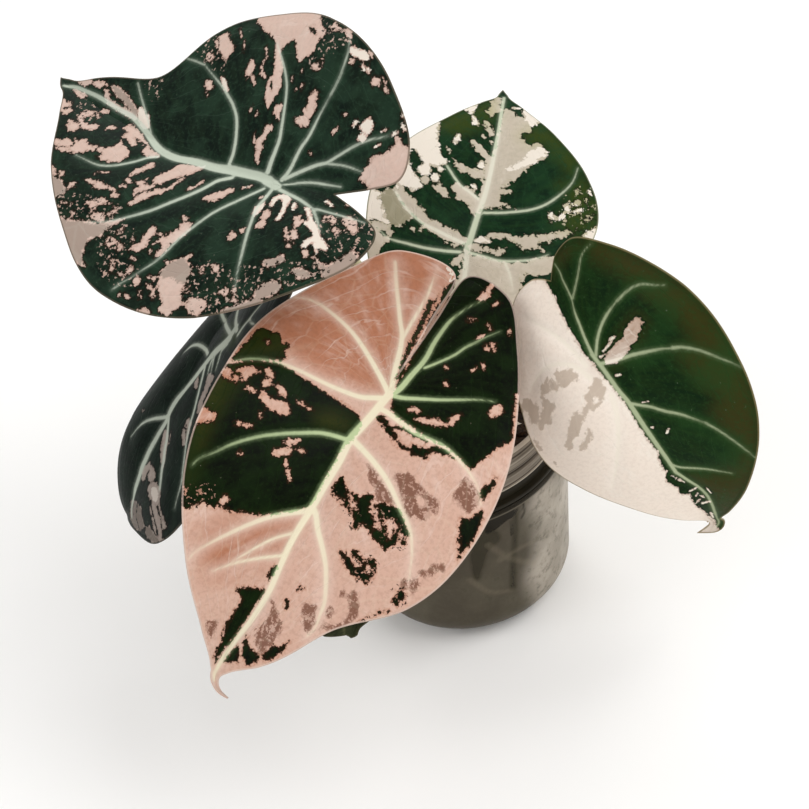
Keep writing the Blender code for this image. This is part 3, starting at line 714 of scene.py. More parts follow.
# %% Upper left leaf
DRAWINGS["upper_left"] = """
vein 2.6 3.0 274,184 262,178 250,175 232,171
vein 3.0 1.9 232,171 215,168 195,162 175,158 160,150 152,140
vein 1.9 1.4 152,140 145,130 138,122 132,116
vein 1.4 0.9 132,116 120,110 101,98 88,92 75,87 64,86
vein 3.2 2.6 268,181 277,187
vein 0.4 0.5 138,83 141,95 144,106 147,116 150,128 153,138
vein 1.0 0.5 229,165 233,155 236,140 237,120 234,107 229,97 222,86 213,75 205,65
vein 0.4 0.4 205,65 195,61 185,58
vein 1.4 0.7 268,172 272,160 276,150 280,138 283,120 286,100
vein 0.7 0.5 286,100 287,85 285,70 281,55 277,43
vein 1.1 0.5 282,180 290,170 300,150 310,135 320,115 331,95
vein 0.5 0.4 331,95 340,77 346,60 349,48 350,34
vein 1.0 0.8 285,179 300,172 315,166 327,163
vein 0.7 0.4 327,163 340,155 355,146 370,140 385,137 396,133
vein 0.4 0.4 328,164 345,166 362,172
vein 0.4 0.6 284,185 300,183 315,183 328,185 341,187
vein 1.0 0.6 280,190 290,195 300,200 310,207 316,211
vein 0.5 0.4 316,209 330,213 345,217 365,223
vein 0.7 0.4 313,210 317,220 320,232
vein 1.0 0.4 272,190 264,200 257,208 252,220 247,235 243,250 240,262 237,275 235,290
vein 0.8 0.4 264,189 240,200 215,212 195,226 178,240 160,258 140,272 120,284
vein 0.4 0.4 120,284 112,290
vein 1.2 0.6 232,178 218,181 205,188 190,195 170,203 150,211 125,218 105,222 88,222
vein 0.8 0.4 158,157 148,158 138,161 125,164 110,166 98,165 88,161 76,155
white 139,109 143,108 146,115 149,114 150,125 147,129 143,128 139,121
patch 79,81 90,79 93,83 86,86 80,84
patch 93,83 98,81 105,82 108,86 103,87 98,89 94,85
patch 105,90 110,92 110,100 106,100
patch 106,99 112,100 117,103 121,107 127,108 133,112 138,116 136,120 128,117 118,111 108,104
grey 112,86 120,88 128,95 135,105 139,112 134,116 131,110 124,103 117,96
patch 112,86 120,88 128,95 135,105 139,112 134,116 131,110 124,103 117,96
patch 133,125 140,131 146,141 152,150 160,157 150,158 145,155 142,153 145,149 143,145 138,143 136,147
    132,147 130,144 127,141 123,137 128,134 124,130 128,127
-patch 1.0 1.0 142,144 146,146
-patch 0.7 0.7 136,140 138,141
patch 95,151 100,149 108,149 118,146 122,142 124,147 128,149 130,154 126,159 118,162 108,162 100,160
    97,156 104,156 99,152
patch 54,140 60,140 70,140 74,145 66,147 60,146 55,146
patch 75,140 79,142 86,140 90,146 98,147 96,151 88,152 80,153 72,153 64,152 56,149 57,147 66,148 74,146
patch 66,126 70,126 68,121 74,122 80,126 79,130 73,133 69,131
patch 78,120 83,114 88,112 95,113 92,117 86,118 85,122 89,126 94,125 100,127 96,131 88,131 83,130 81,125
patch 101,113 104,110 110,110 109,114 104,115
patch 96,114 99,115 100,119 97,119
patch 107,129 113,127 118,129 114,131 108,131
patch 60,97 67,102 72,103 72,107 67,107 64,110 70,109 73,112 68,115 63,114 58,108
patch 73,90 80,91 87,95 86,98 80,99 77,95
patch 51,165 55,168 56,174 51,176
patch 50,177 57,178 62,181 65,186 68,192 60,196 52,196
grey 50,177 57,178 62,181 65,186 68,192 60,196 52,196
patch 60,172 64,172 65,176 61,177
patch 70,184 76,184 76,188 70,188
patch 86,180 92,181 100,183 108,186 112,189 118,191 114,193 108,190 100,190 93,189 95,186 88,183
patch 0.5 0.4 96,174 102,173 110,173
patch 112,197 117,194 120,197 118,199 113,199
patch 121,187 127,186 127,189 121,189
patch 126,181 131,180 134,184 130,185
patch 131,176 136,171 142,169 150,164 155,165 153,169 146,172 141,174 136,176 133,178
patch 136,183 142,182 149,180 146,184 140,187
patch 135,190 140,188 144,185 150,187 156,186 155,189 149,191 144,193 136,193
patch 130,205 135,199 140,195 150,193 158,190 168,189 178,182 186,179 176,187 165,193 152,198 142,202
    131,206
patch 133,195 137,195 136,199
patch 154,183 158,177 163,174 172,171 178,166 185,164 195,166 205,167 200,171 190,176 178,179 168,183
    160,186
patch 88,203 93,202 98,200 104,199 107,202 104,205 99,206 97,211 92,210 89,206
patch 91,216 97,213 102,214 105,218 102,222 95,221
patch 0.5 0.4 105,203 112,205 118,209
patch 110,214 118,208 116,213 109,217 106,214
patch 0.6 0.5 62,203 72,205
patch 0.6 0.5 71,213 75,214 72,218
patch 52,200 57,208 60,216 70,220 85,221 100,223 118,219 125,219 119,223 112,228 106,232 104,236 96,239
    90,241 86,247 84,253 83,260 86,268 76,262 64,248 56,232 50,216
grey 52,200 57,208 60,216 70,221 100,224 112,225 104,234 96,238 90,240 86,247 84,253 83,260 86,268 76,262
    64,248 56,232 50,216
patch 107,243 110,238 114,239 119,243 113,247 108,247
patch 117,246 121,244 124,249 119,251
patch 130,250 136,246 142,242 144,238 148,233 153,227 157,229 158,232 155,237 150,241 147,248 140,251
    135,252
patch 153,246 156,243 162,239 160,236 163,234 168,237 172,233 180,229 182,224 190,223 193,224 190,230
    182,237 172,244 165,252 160,256 155,258 155,254 162,249 160,244
patch 1.0 0.8 184,219 187,220
patch 0.9 0.8 134,240 133,241
patch 0.9 0.8 120,231 124,229
patch 0.8 0.8 119,234 122,234
patch 0.8 0.6 151,251 152,252
patch 0.9 0.8 167,263 168,264
patch 1.2 1.1 134,259 135,260
patch 127,274 131,266 134,267 131,273
patch 1.0 1.2 112,271 114,262
patch 0.8 0.7 120,275 125,276
patch 138,275 141,280 139,286 135,287 134,281
patch 0.9 0.8 120,295 121,295
patch 0.9 0.6 125,295 129,298
patch 0.7 0.7 141,298 141,292
patch 0.7 0.7 149,278 150,278
patch 0.9 0.8 154,280 154,281
patch 148,285 152,287 156,291 156,297 153,299 152,293 149,290
patch 160,275 168,266 178,260 186,258 190,255 193,257 188,261 190,266 193,270 189,278 187,284 184,291
    183,298 186,304 180,309 173,312 167,317 162,314 160,308 163,303 161,295 159,290 158,284 160,279
grey 160,275 168,266 178,260 186,258 190,266 193,270 189,279 186,285 175,281 165,278
patch 138,310 144,308 150,312 148,316 141,313
patch 187,288 191,287 190,292 186,293
patch 191,304 197,301 201,304 196,308 191,307
patch 204,201 206,198 214,195 222,192 230,190 232,189 235,192 228,196 222,199 214,202
patch 0.7 0.5 188,190 196,187 204,182
white 0.6 0.4 243,189 252,187
white 0.6 0.4 261,198 267,196
white 253,216 255,208 260,205 265,203 263,209 258,214
patch 255,228 261,221 264,213 268,210 272,213 268,220 263,228 258,229
white 270,206 273,200 277,197 283,195 289,197 291,200 289,204 287,209 284,215 280,221 276,221 281,214
    283,208 283,203 280,200 276,203 273,208
white 293,205 296,203 296,209 293,211
patch 294,221 298,217 301,216 301,220 305,223 301,226 297,230 298,236 297,240 293,245 292,238 292,232
    294,228
patch 285,234 288,229 290,235 291,241 287,241
patch 0.9 0.8 289,246 290,247
white 305,209 309,208 311,214 313,221 317,226 319,232 322,239 326,244 328,249 326,253 322,250 319,248
    318,255 316,257 315,249 313,244 309,246 305,249 302,247 306,241 312,238 313,235 310,230 306,226
    305,222 309,222 307,215
patch 303,254 306,250 310,255 309,259 304,257
grey 313,258 317,260 320,264 325,266 330,270 324,271 319,268
patch 313,258 317,260 320,264 325,266 330,270 324,271 319,268
patch 0.8 0.6 325,216 325,221
patch 328,218 331,216 335,218 336,222 333,226 331,223
patch 332,231 336,228 340,232 337,236 334,233
patch 342,219 352,217 357,225 358,234 350,234 346,228 343,223
patch 263,262 270,260 277,259 280,256 285,258 285,263 276,266 267,268
grey 263,262 270,260 277,259 280,256 285,258 285,263 276,266 267,268
patch 291,272 298,269 305,270 313,276 306,279 300,280 296,276
grey 291,272 298,269 305,270 313,276 306,279 300,280 296,276
patch 256,291 265,284 275,282 281,284 280,291 268,297 256,300
grey 256,291 265,284 275,282 281,284 280,291 268,297 256,300
patch 326,268 340,260 352,252 358,258 345,272 330,279 322,277
grey 326,268 340,260 352,252 358,258 345,272 330,279 322,277
patch 222,310 240,304 258,298 262,302 245,310 222,316
grey 222,310 240,304 258,298 262,302 245,310 222,316
speck 322,222 345,212 360,218 374,228 376,248 356,262 332,262 326,250 322,240
speck 196,264 215,262 232,272 252,276 262,286 250,300 225,312 196,314 186,300 190,275
speck 240,268 262,264 300,262 330,266 322,282 290,286 262,286
speck 100,232 125,225 135,235 128,255 140,265 135,285 115,285 100,270 98,250
patch 202,268 205,269 205,275 201,273
patch 213,266 219,267 219,272 214,271
patch 219,292 226,289 230,294 225,297
patch 231,298 238,300 233,304
patch 233,287 237,291 234,295
patch 188,302 198,299 208,303 200,314 190,314
patch 229,243 230,237 233,231 235,238
patch 241,230 245,228 245,232 241,233
patch 257,22 262,16 270,10 288,8 312,9 320,14 322,22 324,28 327,34 324,38 320,42 316,50 313,55 306,59
    300,62 298,55 297,46 295,41 291,43 286,46 282,50 281,56 283,65 282,75 282,85 279,93 275,99 271,105
    269,109 266,101 267,90 270,80 275,73 275,62 276,50 275,40 270,35 265,31 262,26
-patch 309,27 312,29 315,28 318,33 316,37 312,31
-patch 0.7 0.6 320,40 321,43
-patch 1.0 0.7 273,83 272,90
patch 219,38 226,34 230,34 231,40 235,48 234,53 230,57 229,60 224,60 222,55 219,50 221,46
patch 0.8 0.6 217,41 219,47
patch 208,55 213,54 215,59 211,62 207,61
patch 0.6 0.6 246,41 245,52
patch 0.5 0.5 241,29 243,38
patch 0.7 0.7 267,48 268,58
patch 250,64 253,61 256,67 254,74 256,80 256,86 253,82 252,76 249,79 247,73
patch 0.7 0.7 265,62 263,70
patch 0.9 0.9 262,74 266,77
patch 206,83 210,80 214,88 210,91 207,89
patch 0.7 0.5 208,93 209,96
white 222,78 226,80 229,90 227,92 223,87
patch 276,108 279,104 283,107 281,114 279,120 276,116 275,112
patch 0.9 0.8 252,111 253,108
patch 0.8 0.6 258,116 259,113
patch 267,126 271,125 273,130 268,136 264,145 261,157 259,164 256,161 257,150 257,141 262,137 265,131
patch 0.6 0.5 256,134 255,142
patch 302,127 297,124 296,119 301,118 305,115 304,111 307,108 309,103 310,98 313,94 317,91 319,97 317,101
    316,107 315,113 311,120 308,126
patch 0.9 0.8 303,87 303,89
patch 0.6 0.5 296,90 297,91
patch 0.6 0.5 293,77 292,81
patch 0.6 0.5 303,71 302,74
patch 313,66 318,64 320,70 316,71
patch 0.7 0.6 324,60 322,67
patch 333,133 337,128 339,130 336,134
patch 0.8 0.7 346,115 347,116
patch 0.6 0.5 311,153 312,155
patch 331,28 334,24 337,23 339,27 344,29 346,31 340,31 332,31
patch 345,31 351,28 353,36 349,38
white 350,50 352,46 357,50 363,50 368,54 370,59 366,61 361,61 358,57 354,57 351,54
patch 349,63 351,59 355,60 354,65 350,64
white 0.9 0.7 363,67 366,71
white 0.9 0.7 368,69 370,73
patch 373,79 377,78 381,79 382,86 376,87 373,85
patch 0.8 0.6 383,79 387,82
patch 0.7 0.7 384,88 389,93
patch 0.7 0.6 370,52 373,57
speck 320,16 335,18 350,28 352,45 340,50 325,60 312,72 308,64 318,52 325,38 322,28
speck 192,42 205,36 217,36 222,42 222,56 228,64 225,74 214,71 205,62 199,54
speck 148,74 162,70 164,84 160,100 150,100 146,86
white 360,128 364,123 369,119 374,124 373,129 369,134 365,134 362,130
white 358,138 363,134 367,137 364,142 360,141
white 353,126 356,121 359,122 355,128
white 0.9 0.7 403,115 404,118
white 0.9 0.8 403,126 405,130
white 0.5 0.4 382,132 386,130
white 0.8 0.7 393,135 398,132
white 0.4 0.4 375,148 380,145
white 0.6 0.4 327,202 333,207
white 0.6 0.5 347,205 348,206
patch 396,137 400,140 403,145 410,147 414,152 408,168 404,180 400,188 393,196 384,198 376,196 370,192
    366,184 360,180 364,171 368,167 371,164 369,161 374,157 380,155 386,154 390,150 395,146
speck 60,190 85,196 120,205 118,216 90,222 70,220 58,210
speck 84,100 96,104 100,120 84,122 76,112
"""
print("upper left strokes and outlines:", len(markings(DRAWINGS["upper_left"])))

# %% [markdown]
# ## The back leaf
# The leaf behind is green, with cream and grey-cream along its midrib and in its lobes. Its edges
# are the most ragged of all. The paint adds that, so the outlines stay simple.

# %% Back leaf
DRAWINGS["back"] = """
vein 0.9 1.3 504,98 501,115 498,135 494,155 490,175
vein 1.3 2.0 490,175 485,195 478,215 470,240 467,250
vein 1.5 1.2 467,250 466,265 464,280 461,296
vein 0.8 0.5 484,213 500,213 515,212 530,210 545,205 560,195 572,183 578,168
vein 0.9 0.5 470,253 485,257 500,261 520,261 535,259 548,255
vein 0.7 0.4 505,262 510,275 513,290
vein 0.9 0.7 478,199 468,191 461,186 454,177 447,166
vein 1.1 0.8 463,243 450,237 436,230 424,224 415,217 407,209 401,201 396,192
vein 0.9 0.6 460,252 445,251 425,248 405,243 388,238 376,226
white 402,135 418,131 437,122 438,135 438,146 441,156 447,163 441,165 436,167 430,166 430,173 426,177
    421,175 418,171 421,166 424,165 421,159 416,152 412,149 409,153 409,163 412,172 418,179 420,184
    422,188 416,190 412,193 408,188 402,186 396,188 398,178
patch 421,178 427,178 430,182 426,185 421,183
white 433,175 437,175 438,181 434,183 431,180
white 438,168 442,168 442,172 438,172
patch 434,187 440,185 444,190 447,198 443,198 437,194 434,190
patch 451,186 457,184 462,187 468,187 474,192 479,197 484,200 478,214 473,216 468,206 460,201 455,198
    453,192
patch 453,160 458,163 464,167 470,170 476,171 484,172 484,182 475,178 468,176 461,172 456,168
patch 470,143 474,141 479,145 485,150 490,155 497,158 493,165 486,164 484,160 480,157 476,152 472,147
white 479,163 483,163 483,169 478,168
patch 484,167 493,160 496,170 490,202 480,202 480,190 483,180
white 453,143 457,136 460,136 459,140 456,145
patch 1.2 1.0 448,151 449,153
white 1.2 1.0 474,187 475,189
white 472,117 475,119 478,125 474,126 472,122
white 465,111 472,102 484,97 476,107 473,114 470,115 468,111
patch 486,112 490,107 492,101 497,98 502,100 500,113 495,113 491,118 488,115
patch 484,124 487,123 491,128 494,133 491,137 487,133 484,129
patch 1.0 0.9 482,137 484,139
patch 1.1 1.0 489,142 491,143
patch 504,112 508,110 513,113 518,118 524,119 528,121 533,127 529,130 532,132 529,134 522,135 521,139
    527,144 531,147 538,145 542,147 542,153 547,155 545,160 538,163 530,167 525,172 518,178 512,182
    507,186 502,188 503,190 511,190 510,194 500,197 501,203 506,206 515,209 500,208 484,210 480,214
    486,195 490,175 495,150 500,128
white 523,112 530,110 540,121 536,125 531,127 526,122
white 1.1 1.0 515,109 518,109
white 530,152 541,149 547,156 538,162 525,168 512,172 505,170 520,163
white 548,216 551,213 553,216 557,219 560,216 564,214 561,220 555,221 550,219
white 564,208 567,204 571,206 568,211 572,213 578,210 582,211 574,215 567,214
white 1.2 1.2 575,205 577,204
patch 0.7 0.7 579,192 580,193
patch 0.6 0.7 586,201 588,208
white 0.9 0.9 589,192 590,194
patch 584,222 589,217 594,216 589,221
patch 0.8 0.7 563,219 564,221
patch 0.7 0.7 550,223 551,224
patch 0.5 0.5 578,233 586,231
warm 556,185 585,180 600,215 596,236 560,232 552,222 566,205
speck 566,196 585,186 598,220 592,232 570,230 556,222
patch 489,236 494,232 500,234 510,236 518,238 528,237 540,236 555,234 565,232 571,235 566,238 555,241
    545,243 538,246 543,252 535,249 527,252 520,246 512,242 505,239 497,240
white 474,241 480,238 486,239 491,243 484,244 477,243
patch 468,245 480,245 488,249 497,250 505,250 505,254 495,255 485,252 472,251
patch 466,255 490,259 510,263 530,261 549,256 556,262 550,275 538,276 525,275 522,284 520,300 510,306
    495,300 462,302 462,280
white 583,236 590,231 604,226 606,240 590,241 583,239
patch 380,196 386,190 396,190 400,200 406,208 411,213 414,217 409,221 403,226 396,227 390,226 386,220
    384,210 381,203
grey 380,196 386,190 396,190 400,200 406,208 411,213 414,217 409,221 403,226 396,227 390,226 386,220
    384,210 381,203
patch 395,186 402,186 405,192 410,196 414,200 419,205 424,212 427,217 430,221 424,224 418,219 412,214
    405,207 399,199
patch 428,220 440,224 447,228 455,231 462,236 467,241 458,247 450,243 440,238 430,232 422,226
white 358,186 371,188 380,194 378,199 383,208 385,218 388,225 381,222 374,219 366,220 358,214
patch 358,214 370,220 380,222 390,229 392,236 386,234 378,228
patch 358,222 373,222 380,230 388,239 384,245 378,255 374,262 372,272 358,272
patch 0.9 0.9 413,228 414,229
patch 0.8 0.8 419,229 420,231
patch 0.5 0.5 446,243 458,247
patch 450,264 458,256 466,250 470,256 468,270 464,285 461,302 448,298 454,286 458,275 460,266
-patch 0.9 0.6 463,260 460,270 456,277
warm 436,128 446,116 470,108 500,100 498,118 470,134 452,136
warm 522,136 532,127 541,124 560,140 582,165 575,180 562,168 548,158 544,148 530,148
"""
print("back strokes and outlines:", len(markings(DRAWINGS["back"])))

# %% [markdown]
# ## The right leaf
# This leaf is cream on one half and dark green on the other, and the midrib parts them. The cream
# half is one outline, and the grey clouds on it and the few pale places on the green half are drawn
# over that.

# %% Right leaf
DRAWINGS["right"] = """
vein 1.0 1.3 592,354 598,362 605,371 612,381 620,392 628,401 636,413
vein 1.3 1.0 636,413 645,427 654,440 661,450 668,460 676,472
vein 1.0 0.5 676,472 688,480 699,487 707,495 712,504 716,515 716,527 712,533
vein 0.9 0.6 594,357 590,349 585,338 580,325 575,312 572,299
vein 0.5 0.3 573,298 576,285 579,270 581,258 585,250 592,243
vein 0.4 0.3 572,299 568,290 563,280 560,272 555,264
vein 0.8 0.5 596,355 598,337 603,322 610,310 617,301
vein 0.5 0.3 617,301 625,293 633,287 643,284 655,285 665,285
vein 0.9 0.6 600,364 612,361 620,359 632,355 645,352 660,349 672,348
vein 0.6 0.3 672,348 680,347 690,348 702,351 715,356 730,362 741,367
vein 0.7 0.6 629,403 640,405 652,407 665,411 680,414 695,419 706,423
vein 0.5 0.3 706,423 720,431 733,440 745,449 755,457
vein 0.6 0.3 670,464 680,467 695,468 708,469 720,471 732,473
patch 541,274 546,281 550,288 556,297 560,307 564,316 568,325 573,333 578,342 583,351 590,359 598,369
    606,379 614,389 623,400 632,414 641,429 650,442 657,450 659,453 660,462 664,468 666,476 668,481
    675,485 679,487 680,492 690,493 692,497 695,503 700,507 705,511 710,517 714,525 718,540 690,542
    640,522 600,514 550,484 508,454 500,420 502,340 505,294 522,276
grey 555,374 557,371 560,373 562,370 568,369 572,368 574,372 578,374 578,379 573,382 568,385 563,387
    559,384 557,380
grey 549,383 553,380 557,382 560,387 558,390 553,389
grey 546,378 549,378 549,383 552,388 550,393 546,394 542,391 540,387 544,383
grey 540,395 544,393 545,397 549,399 552,401 556,403 555,409 553,414 552,420 554,423 548,423 545,425
    543,429 539,427 540,422 541,417 543,412 544,406 543,400
grey 523,401 527,398 532,400 534,404 537,403 540,407 540,413 541,418 539,422 532,423 530,418 529,413
    526,411 522,412 521,406
grey 595,377 600,379 603,383 606,389 605,397 603,402 600,406 596,408 594,412 590,409 588,413 586,416
    583,415 583,410 586,405 588,402 585,399 585,395 589,390 592,384
-grey 593,400 595,397 599,397 600,400 597,403 594,404
grey 575,412 578,411 581,414 585,413 585,417 583,422 581,427 580,434 576,436 573,439 573,442 574,447
    571,449 567,448 565,444 567,440 568,436 568,430 570,425 571,419
grey 587,430 590,428 593,432 592,437 590,441 587,446 584,450 581,450 580,446 584,442 586,437
grey 534,439 538,441 543,448 541,451 537,447
grey 0.5 0.4 555,461 558,466
-patch 523,275 530,274 540,275 537,280 533,279 526,281 523,281
patch 604,359 606,355 612,348 619,341 624,336 625,330 628,325 633,320 638,317 642,319 645,322 641,328
    639,333 637,340 632,344 629,350 623,357 619,361 612,364 606,364
patch 705,514 711,516 716,524 722,532 716,544 700,544 690,534
warm 600,362 606,352 612,346 619,339 623,334 624,328 628,323 633,318 638,315 646,320 643,328 640,340
    632,350 623,359 612,366
white 0.8 0.7 611,339 615,337
white 0.6 0.4 604,351 613,341
white 0.5 0.4 600,357 604,355
white 0.6 0.5 617,375 621,374
white 0.6 0.4 643,402 648,401
white 0.5 0.4 652,427 654,426
white 0.5 0.4 667,432 669,428
white 0.5 0.5 665,473 667,470
white 0.4 0.4 672,475 676,478
white 0.5 0.4 679,479 685,482
white 0.7 0.4 690,490 697,487
white 0.4 0.4 696,495 698,492
white 0.5 0.4 695,502 701,498
white 0.5 0.4 701,495 704,497
white 1.0 0.7 703,502 709,501
white 0.7 0.5 711,512 713,517
white 0.4 0.3 707,487 711,492
warm 585,238 600,236 620,246 640,256 665,272 690,290 710,312 730,338 748,372 758,410 760,440 752,480
    735,508 720,526 716,510 708,492 690,478 690,468 715,470 735,462 738,446 722,430 712,412 716,396
    700,380 682,362 676,350 688,340 680,322 660,304 640,292 622,276 606,266 590,258
warm 552,262 560,250 575,244 585,246 570,256 560,268 552,274
vein 1.4 0.6 590,378 576,367 560,364 546,368 536,380 530,392
vein 1.5 0.6 612,396 616,410 618,428 618,448 616,468 612,488
vein 1.2 0.6 586,366 572,350 556,336 540,326 526,318
"""
print("right strokes and outlines:", len(markings(DRAWINGS["right"])))

# %% [markdown]
# ## The lower left leaf
# A hanging leaf, nearly black, with broad silver veins and dull pale places near its tip. It is seen
# from the side, so its drawing is narrow. The part of a blade that can't be seen stays plain.

# %% Lower left leaf
DRAWINGS["lower_left"] = """
vein 2.6 2.9 236,328 232,334 228,340
vein 2.9 2.2 230,338 222,346 214,353 207,362
vein 2.2 1.2 207,362 200,371 194,379 186,389 178,399 172,408 168,417
vein 1.0 0.4 168,417 160,418 153,419 145,422 138,428 131,437
vein 1.1 1.4 168,418 165,424 160,432 155,441 150,450 146,459
vein 1.4 0.8 146,459 142,468 139,478 136,487 134,497 132,508 132,517
vein 0.9 1.2 169,418 168,430 167,440 165,450 164,460
vein 1.2 0.7 164,460 162,470 161,480 160,489
vein 1.1 0.6 208,354 204,348 198,345 192,346 187,350 184,353
vein 1.0 0.7 206,364 203,376 200,388 197,400 194,412 190,425
vein 0.7 0.3 190,425 187,440 185,455 183,470 181,485 178,496 175,508
vein 0.7 0.5 213,358 210,366 208,374
vein 0.7 0.5 220,350 215,356 213,364 211,374
vein 0.7 0.5 228,344 222,351 219,360 216,370
vein 1.2 0.8 230,333 226,325 223,317 221,308
vein 1.3 0.9 237,331 236,322 237,315 240,306 244,296
vein 1.0 0.6 238,335 244,326 249,320 255,312 262,304 270,294
vein 0.6 0.5 249,320 252,323 256,327
patch 209,374 213,375 215,378 212,385 209,392 205,402 202,411 198,414 199,405 202,397 206,388
patch 196,381 199,377 199,385 197,389 195,386
patch 189,419 192,422 190,432 187,443 184,446 183,437 185,427
patch 165,430 169,434 168,445 166,455 165,463 162,469 161,455 163,440
patch 0.5 0.4 172,432 170,444
patch 151,470 153,465 156,472 156,478 152,482 149,476
patch 151,484 156,482 159,486 161,490 161,498 160,506 154,506 151,498 149,490
white 152,489 157,487 159,494 158,502 154,500
patch 152,504 160,504 163,512 166,520 168,526 165,528 162,533 165,541 160,545 158,536 155,528 154,520
    152,512
patch 143,469 150,462 152,467 148,474 145,482 142,478
patch 132,500 138,502 143,508 144,516 146,524 143,530 136,528 131,519 131,508
grey 132,500 138,502 143,508 144,516 146,524 143,530 136,528 131,519 131,508
patch 147,528 151,526 155,533 159,541 153,542 147,536
grey 147,528 151,526 155,533 159,541 153,542 147,536
patch 0.4 0.3 176,530 172,540
patch 0.7 0.5 144,410 145,412
-patch 0.8 0.5 152,500 154,512 157,524 159,536
-patch 0.7 0.4 159,506 162,520 163,538
-patch 0.7 0.4 139,503 138,515 140,528
-patch 0.6 0.4 134,505 135,516
-patch 0.5 0.4 187,425 186,440
warm 228,328 236,326 240,334 234,343 226,341
"""
print("lower left strokes and outlines:", len(markings(DRAWINGS["lower_left"])))

# %% [markdown]
# ## The lower front leaf
# Only the tip of this small leaf can be seen. It is a plain olive green, and one faint vein is enough.

# %% Lower front leaf
DRAWINGS["lower_front"] = """
vein 1.0 0.5 340,600 345,640
"""
print("strokes and outlines in all:", sum(len(markings(words)) for words in DRAWINGS.values()))

# %% [markdown]
# ## The colours of the leaves
# A leaf has a pale tissue and a dark one. The pale one has a main colour, pale, with warm, soft and
# grey tones in it, and white spots. The dark one is deep, with green and olive clouds and a painted
# sheen, and has a brown rim. The veins are brighter on the dark tissue. The margin has a hem, and the
# underside its own dull green. The tones were matched by comparing renders with the photograph. Four
# numbers say how coarse the grain is, how ragged the edges are in millimetres, how stippled the grey
# places are, and how much the veins fade.

# %% Leaf colours
COLOURS = {
    "front": dict(
        pale=ink(207, 168, 149), warm=ink(176, 116, 87), soft=ink(230, 203, 189), grey=ink(110, 68, 50),
        deep=ink(4, 8, 2), green=ink(14, 24, 6), olive=ink(50, 54, 16), rim=ink(40, 22, 8),
        grain_and_sheen=ink(20, 38, 10), white=ink(225, 210, 195), vein=ink(234, 224, 196), bright=ink(176, 200, 146),
        hem=ink(216, 192, 178), under=ink(120, 100, 84),
        grain=0.8, ragged=3.4, stipple=0.75, fade=0.6, dark_ground=False),
    "upper_left": dict(
        pale=ink(204, 176, 162), warm=ink(156, 120, 102), soft=ink(216, 196, 184), grey=ink(154, 138, 126),
        deep=ink(8, 20, 14), green=ink(20, 34, 22), olive=ink(36, 54, 30), rim=ink(30, 20, 10),
        grain_and_sheen=ink(38, 60, 44), white=ink(224, 212, 198), vein=ink(206, 208, 194), bright=ink(180, 190, 172),
        hem=ink(112, 100, 84), under=ink(86, 100, 74),
        grain=0.75, ragged=3.4, stipple=0.0, fade=0.4, dark_ground=True),
    "back": dict(
        pale=ink(194, 182, 164), warm=ink(176, 168, 134), soft=ink(210, 200, 184), grey=ink(140, 134, 108),
        deep=ink(4, 28, 14), green=ink(20, 46, 20), olive=ink(52, 66, 18), rim=ink(22, 26, 8),
        grain_and_sheen=ink(26, 60, 32), white=ink(232, 222, 208), vein=ink(220, 216, 198), bright=ink(190, 200, 172),
        hem=ink(150, 150, 122), under=ink(86, 100, 74),
        grain=0.45, ragged=6.0, stipple=0.0, fade=0.25, dark_ground=True),
    "right": dict(
        pale=ink(250, 236, 222), warm=ink(158, 116, 86), soft=ink(255, 246, 234), grey=ink(200, 182, 164),
        deep=ink(10, 34, 12), green=ink(24, 46, 16), olive=ink(58, 56, 20), rim=ink(16, 34, 10),
        grain_and_sheen=ink(34, 66, 28), white=ink(240, 232, 214), vein=ink(250, 240, 224), bright=ink(154, 174, 126),
        hem=ink(150, 134, 96), under=ink(90, 98, 64),
        grain=0.8, ragged=2.2, stipple=0.0, fade=0.5, dark_ground=True),
    "lower_left": dict(
        pale=ink(140, 128, 120), warm=ink(104, 90, 80), soft=ink(160, 150, 140), grey=ink(96, 86, 78),
        deep=ink(4, 13, 8), green=ink(13, 25, 17), olive=ink(62, 74, 44), rim=ink(16, 12, 8),
        grain_and_sheen=ink(26, 38, 30), white=ink(180, 170, 160), vein=ink(170, 174, 162), bright=ink(168, 176, 162),
        hem=ink(80, 78, 68), under=ink(72, 84, 60),
        grain=0.8, ragged=2.2, stipple=0.0, fade=0.2, dark_ground=True),
    "lower_front": dict(
        pale=ink(150, 140, 120), warm=ink(120, 104, 80), soft=ink(160, 150, 130), grey=ink(116, 110, 90),
        deep=ink(30, 34, 18), green=ink(54, 58, 36), olive=ink(64, 66, 40), rim=ink(44, 38, 22),
        grain_and_sheen=ink(56, 60, 38), white=ink(180, 172, 150), vein=ink(110, 108, 80), bright=ink(90, 92, 62),
        hem=ink(84, 78, 54), under=ink(74, 78, 50),
        grain=0.8, ragged=1.6, stipple=0.0, fade=0.4, dark_ground=True),
}
print("leaf colours:", len(COLOURS))

# %% [markdown]
# ## The paint of a leaf
# The drawn depths are turned into edges by adding a noise that runs along the veins, so that every
# edge is ragged the way living tissue is. Where dark meets pale, the dark side gets a brown rim. Both
# tissues get clouds, fine side veins, pale feathering along each vein and a painted sheen in a wider
# band beside it, and the dark one has clouds of painted sheen as well. The veins, which fade towards
# the margin, and a thin line on the margin come last. The underside is plainer and shows the ribs.

# %% Leaf masks
# The course of a vertex follows the veins: it grows by the first number from one vein to the next, and
# reaches the second at the margin. In a step on a depth the numbers are millimetres, and in one on a
# noise they are its levels.
COURSE_STEP = 9.0
COURSE_WIDTH = 40.0
# Width of the line on the margin, in millimetres
HEM_BAND = 0.5


